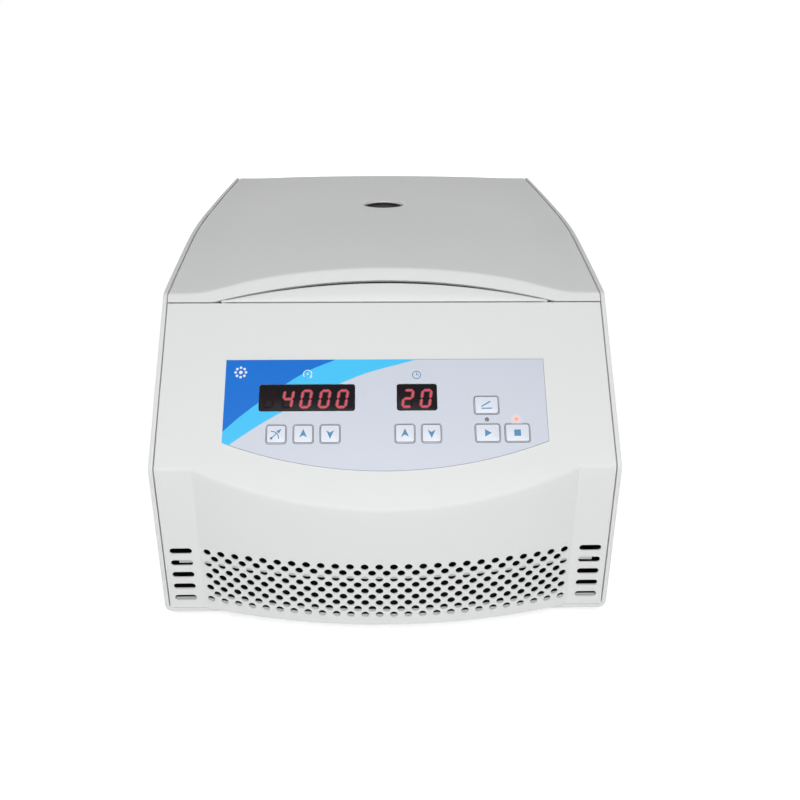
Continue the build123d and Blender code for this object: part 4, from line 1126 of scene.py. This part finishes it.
def panel_print():
    left, right = -FILM_HALF, 22.5
    edge = ((-110.9, 27.1), (-102.7, 35.2), (-88.9, 46.8), (-57.7, 69.4), (-35, FILM_ROOF))
    dark = [(left, 26.4)] + edge_points(edge)
    light = edge_points(((-107.1, 16.8), (-91.4, 28.1), (-74.4, 39.1), (-20.8, 66.7), (20.2, 79.3)))
    light = dark + [(right, FILM_ROOF)] + light[::-1] + [(left, film_foot(left) + 0.2)]
    dark = dark + [(left, FILM_ROOF)]
    for name, shape, material in (
        ("print_dark_corner", dark, "print_dark_blue"), ("print_light_band", light, "print_light_blue"),
    ):
        knife = bmesh.new()
        for place in DISPLAYS.values():
            slab(knife, opening(*place, *WINDOW_CORNER), 4, slope(out=-2))
        printed(name, [shape], material, knife=knife)
    # Turning speed: an arrow that runs round. Time: a clock.
    x, run = -54.4, 69.0
    printed("print_speed_mark", [
        arc_stroke(x, run, 2.9, 0.6, -40, 220), arrow_head(x + 2.3, run - 2.1, -128, 1.5),
        round_hole(x, run, 0.6, 12),
    ], "print_white", PRINT + 0.02)
    bm = bmesh.new()
    x, run = 21.7, 68.0
    band(bm, round_hole(x, run, 3.1, 32), round_hole(x, run, 2.5, 32), INK, slope(out=PRINT - INK))
    for far, up in ((0, 1.9), (1.3, 0)):
        slab(bm, bar(x, run, x + far, run + up, 0.55), INK, slope(out=PRINT - 0.035))
    piece("print_time_mark", bm, "print_ink", "panel_film", "panel_overlay")
    # An eight-place rotor, seen from above.
    x, run = -101.0, 70.5
    places = [round_hole(*place, 0.95, 14) for place in round_hole(x, run, 3.6, 8)]
    printed("print_rotor_mark", places + [round_hole(x, run, 1.3, 16)], "print_white", PRINT + 0.02)


DIGIT_TALL, DIGIT_WIDE, STROKE, LEAN = 14.1, 7.9, 1.9, 0.15
DIGIT_RUN = 50.35
SEGMENTS = {"0": "abcdef", "2": "abged", "4": "fgbc", " ": ""}


def segment(name, x, stroke):
    """One of a digit's seven bars, pointed at both ends and leaning to the right."""
    half, up = (DIGIT_WIDE - STROKE) / 2, (DIGIT_TALL - STROKE) / 2
    left, top, right, foot = {
        "a": (-1, 1, 1, 1), "b": (1, 1, 1, 0), "c": (1, 0, 1, -1), "d": (-1, -1, 1, -1),
        "e": (-1, 0, -1, -1), "f": (-1, 1, -1, 0), "g": (-1, 0, 1, 0),
    }[name]
    start, end = Vector((left * half, top * up)), Vector((right * half, foot * up))
    along = (end - start).normalized()
    side = Vector((-along.y, along.x)) * stroke / 2
    gap, nose = along * 0.1, along * stroke / 2
    corners = (
        start + gap, start + gap + nose + side, end - gap - nose + side, end - gap,
        end - gap - nose - side, start + gap + nose - side,
    )
    return [(x + corner.x + LEAN * corner.y, DIGIT_RUN + corner.y) for corner in corners]


def numerals():
    for name, figures, places in (
        ("speed", " 4000", (-80.4, -67.6, -55.1, -42.3, -30.0)), ("time", "20", (15.4, 28.0)),
    ):
        for layer, lit, wide, thick, out, material in (
            ("unlit", False, 0.86, 0.02, 0.39, "segment_off"),
            ("halo", True, 1.25, 0.03, 0.39, "segment_halo"),
            ("figures", True, 0.58, 0.03, 0.41, "segment_red"),
        ):
            bm = bmesh.new()
            for figure, x in zip(figures, places):
                for bar_name in "abcdefg":
                    if (bar_name in SEGMENTS[figure]) == lit:
                        slab(bm, segment(bar_name, x, STROKE * wide), thick, slope(out=out))
            piece(f"{name}_{layer}", bm, material, "display_window")
        node = f"{name}_display"
        bm = bmesh.new()
        slab(bm, rounded(*DISPLAYS[node], 1.8, 5), 12.4, slope(out=-12), 0.15)
        piece(f"{name}_window", bm, "window_dark", "display_window", node)


def key_marks(name, x, run):
    """The outlines of a key's mark, in (x, run)."""
    if name.endswith(("_up", "_down")):
        way = 1 if name.endswith("_up") else -1
        corners = ((0, 3.7), (-2.7, -2.6), (0, -0.9), (2.7, -2.6))
        return [[(x + way * far, run + way * up) for far, up in corners]]
    if name == "key_force":
        low_x, low = x - 3.2, run - 3.0
        return [
            arc_stroke(low_x, low, 5.0, 0.7, -5, 95), bar(low_x, low, x + 0.9, run + 1.1, 0.7),
            arrow_head(x + 1.9, run + 2.1, 45, 2.2), round_hole(low_x, low, 0.9, 14),
        ]
    if name == "key_open":
        strokes = ((-3.6, -2.4, 3.6, -2.4), (-3.5, -1.1, 2.7, 2.7))
        return [bar(x + x0, run + y0, x + x1, run + y1, 0.9) for x0, y0, x1, y1 in strokes]
    if name == "key_start":
        return [[(x - 1.9, run + 2.7), (x - 1.9, run - 2.7), (x + 2.7, run)]]
    return [rounded(x, run, 4.6, 4.6, 0.3, 2)]


def keys():
    for name, (x, run, width, height) in KEYS.items():
        bm = bmesh.new()
        slab(bm, rounded(x, run, width, height, 2.0, 6), 4.35, slope(out=-3.4), 0.35, 3)
        slab(bm, rounded(x, run, width + 1.8, height + 1.8, 1.6, 4), 1.0, slope(out=-4.05))
        slab(bm, rounded(x, run, 3.5, 3.5, 0.5, 3), 4.0, slope(out=-7))
        cap = piece(f"{name}_cap", bm, "key_white", "key_plastic", name, body=name)
        line_inside(cap, "key_outline_ink", lambda at, way: way.z * cos(SLOPE) - way.y * sin(SLOPE) < 0.6)
        bm = bmesh.new()
        outer = rounded(x, run, width - 0.75, height - 0.75, 1.75)
        inner = rounded(x, run, width - 1.75, height - 1.75, 1.3)
        band(bm, outer, inner, 0.03, slope(out=0.93))
        piece(f"{name}_outline", bm, "key_outline_ink", "key_plastic", name, body=name)
        printed(f"{name}_mark", key_marks(name, x, run), "print_ink", 0.96, body=name, slot="key_plastic")


def lamps():
    for name, material in (("start_lamp", "lamp_dark"), ("stop_lamp", "lamp_lit")):
        x, run = LAMPS[name]
        bm = bmesh.new()
        dome = arc_points(0, 0.25, 1.4, 0, 90, 6, 0.65)
        turned(bm, [(0, -11.9), (1.4, -11.9)] + dome, 28, slope(x, run), closed=False)
        slot = "lamp_lens_lit" if name == "stop_lamp" else "lamp_lens"
        piece(f"{name}_dome", bm, material, slot, name)
    x, run = LAMPS["stop_lamp"]
    FINISH["film_glow"] = glowing_film(on_slope(x, run) * MM, 1.3 * MM, 4.7 * MM)
    bm = bmesh.new()
    band(bm, round_hole(x, run, 4.8, 40), round_hole(x, run, 1.45, 40), 0.02, slope(out=0.5))
    piece("stop_lamp_glow", bm, "film_glow", "panel_film", "panel_overlay")


film()
panel_print()
numerals()
keys()
lamps()


# ---- Rear and feet ----

def back():
    outlines = [
        [(154, 3), (157, 6), (157, 195), (-157, 195), (-157, 6), (-154, 3)],
        rounded(108, ROW, 28, 20, 0.8, 3), rounded(62, ROW, 13, 28, 0.5, 3), round_hole(28, ROW, 6.4, 24),
    ]
    outlines += [rounded(-70 + 13 * (step - 3.5), 50, 5, 46, 2.45) for step in range(8)]
    plate = pierced(outlines, 2.0, rear(0, REAR_FACE - 1, 0))
    piece("rear_plate", plate, "cabinet_enamel", "cabinet_paint", "rear_panel")
    corners = [(x, height) for x in (-148, 148) for height in (14, 96, 186)]
    for name, radius, out, places, *kind in (
        ("rear_plate_screws", 3.0, 0, corners, "cabinet_paint", "rear_panel"),
        ("inlet_screws", 2.0, 2.5, ((-126, ROW), (-90, ROW)), "black_plastic"),
    ):
        bm = bmesh.new()
        screws(bm, radius, REAR_FACE + out, places)
        piece(name, bm, "plated_steel", *kind)
    bm = bmesh.new()
    turned(bm, (
        (0, -18), (5.2, -18), (5.2, 0), (8.5, 0), (8.5, 2.2), (7.7, 3), (6, 3), (6, 8.2), (5.4, 9), (0, 9),
    ), 40, rear(-28, REAR_FACE, ROW), closed=False)
    knife = bmesh.new()
    slab(knife, bar(-4.5, 0, 4.5, 0, 1.2), 4, rear(-28, REAR_FACE + 7, ROW))
    piece("fuse_cap", bm, "black_moulding", "black_plastic", "fuse_holder", knife=knife)
    # The rocker's two marks, on and off. Each half of the rocker falls away from its middle.
    tilt, fall, far = Matrix.Rotation(radians(8), 4, "X"), 1.9 / 11.0, 6.2
    for name, side, draw, outlines in (
        ("on", 1, slab, [bar(0, -1.9, 0, 1.9, 0.8)]),
        ("off", -1, band, [round_hole(0, 0, 2.0, 24), round_hole(0, 0, 1.3, 24)]),
    ):
        bm = bmesh.new()
        draw(bm, *outlines, 0.1, Matrix())
        place = Matrix.Translation((0, side * far, 7.6 + fall * far))
        place = rear(-62, 475, ROW) @ tilt @ place @ Matrix.Rotation(side * atan2(fall, 1), 4, "X")
        bmesh.ops.transform(bm, matrix=place, verts=bm.verts)
        piece(f"rocker_{name}_mark", bm, "print_white", "black_plastic", body="power_rocker")


def feet():
    bm = bmesh.new()
    profile = (
        (0, 0), (13.2, 0), (13.2, -0.6), (14, -1.6), (13, -9.0), (12, -10), (5, -10), (4.2, -7), (0, -7),
    )
    for x in (-124, 124):
        for y in (-200.75, 214.25):
            turned(bm, profile, 44, Matrix.Translation((x, y, FOOT)), closed=False)
    piece("turned_feet", bm, "foot_rubber", "foot_rubber", "rubber_feet")


back()
feet()


# ---- Carried-over nodes ----

# finish: the nodes that take it, each with the rounding of its edges
CARRIED = {
    "board_green": {"display_board": 0, "drive_board": 0},
    "chamber_steel": {"lid_liner": 0.2},
    "plated_steel": {
        "lid_striker": 0.3, "hinge_pins": 0, "lock_bracket": 0, "lock_bolt": 0, "motor_plate": 0,
        "damper_posts": 0, "motor_shaft": 0, "rotor_nut": 0.5,
    },
    "iron_black": {"lock_solenoid": 0.4, "motor_body": 1.0, "transformer": 0.6},
    "foot_rubber": {"rubber_dampers": 0, "shaft_boot": 0},
    "rotor_alloy": {"rotor_body": 0.5, "heat_sink": 0},
    "black_moulding": {"key_switches": 0, "power_inlet": 0.5, "switch_housing": 0.4, "power_rocker": 0.4},
    "pin_nickel": {"inlet_pins": 0.2},
}
for material, carried in CARRIED.items():
    for name, rounding in carried.items():
        for part_slot in nodes[name].material_slots:
            part_slot.material = FINISH[material]
        if rounding:
            nodes[name].modifiers.new("weld", "WELD").merge_threshold = 0.00001
            bevel = nodes[name].modifiers.new("bevel", "BEVEL")
            bevel.width, bevel.segments = rounding * MM, 2
            bevel.limit_method, bevel.angle_limit = "ANGLE", radians(40)
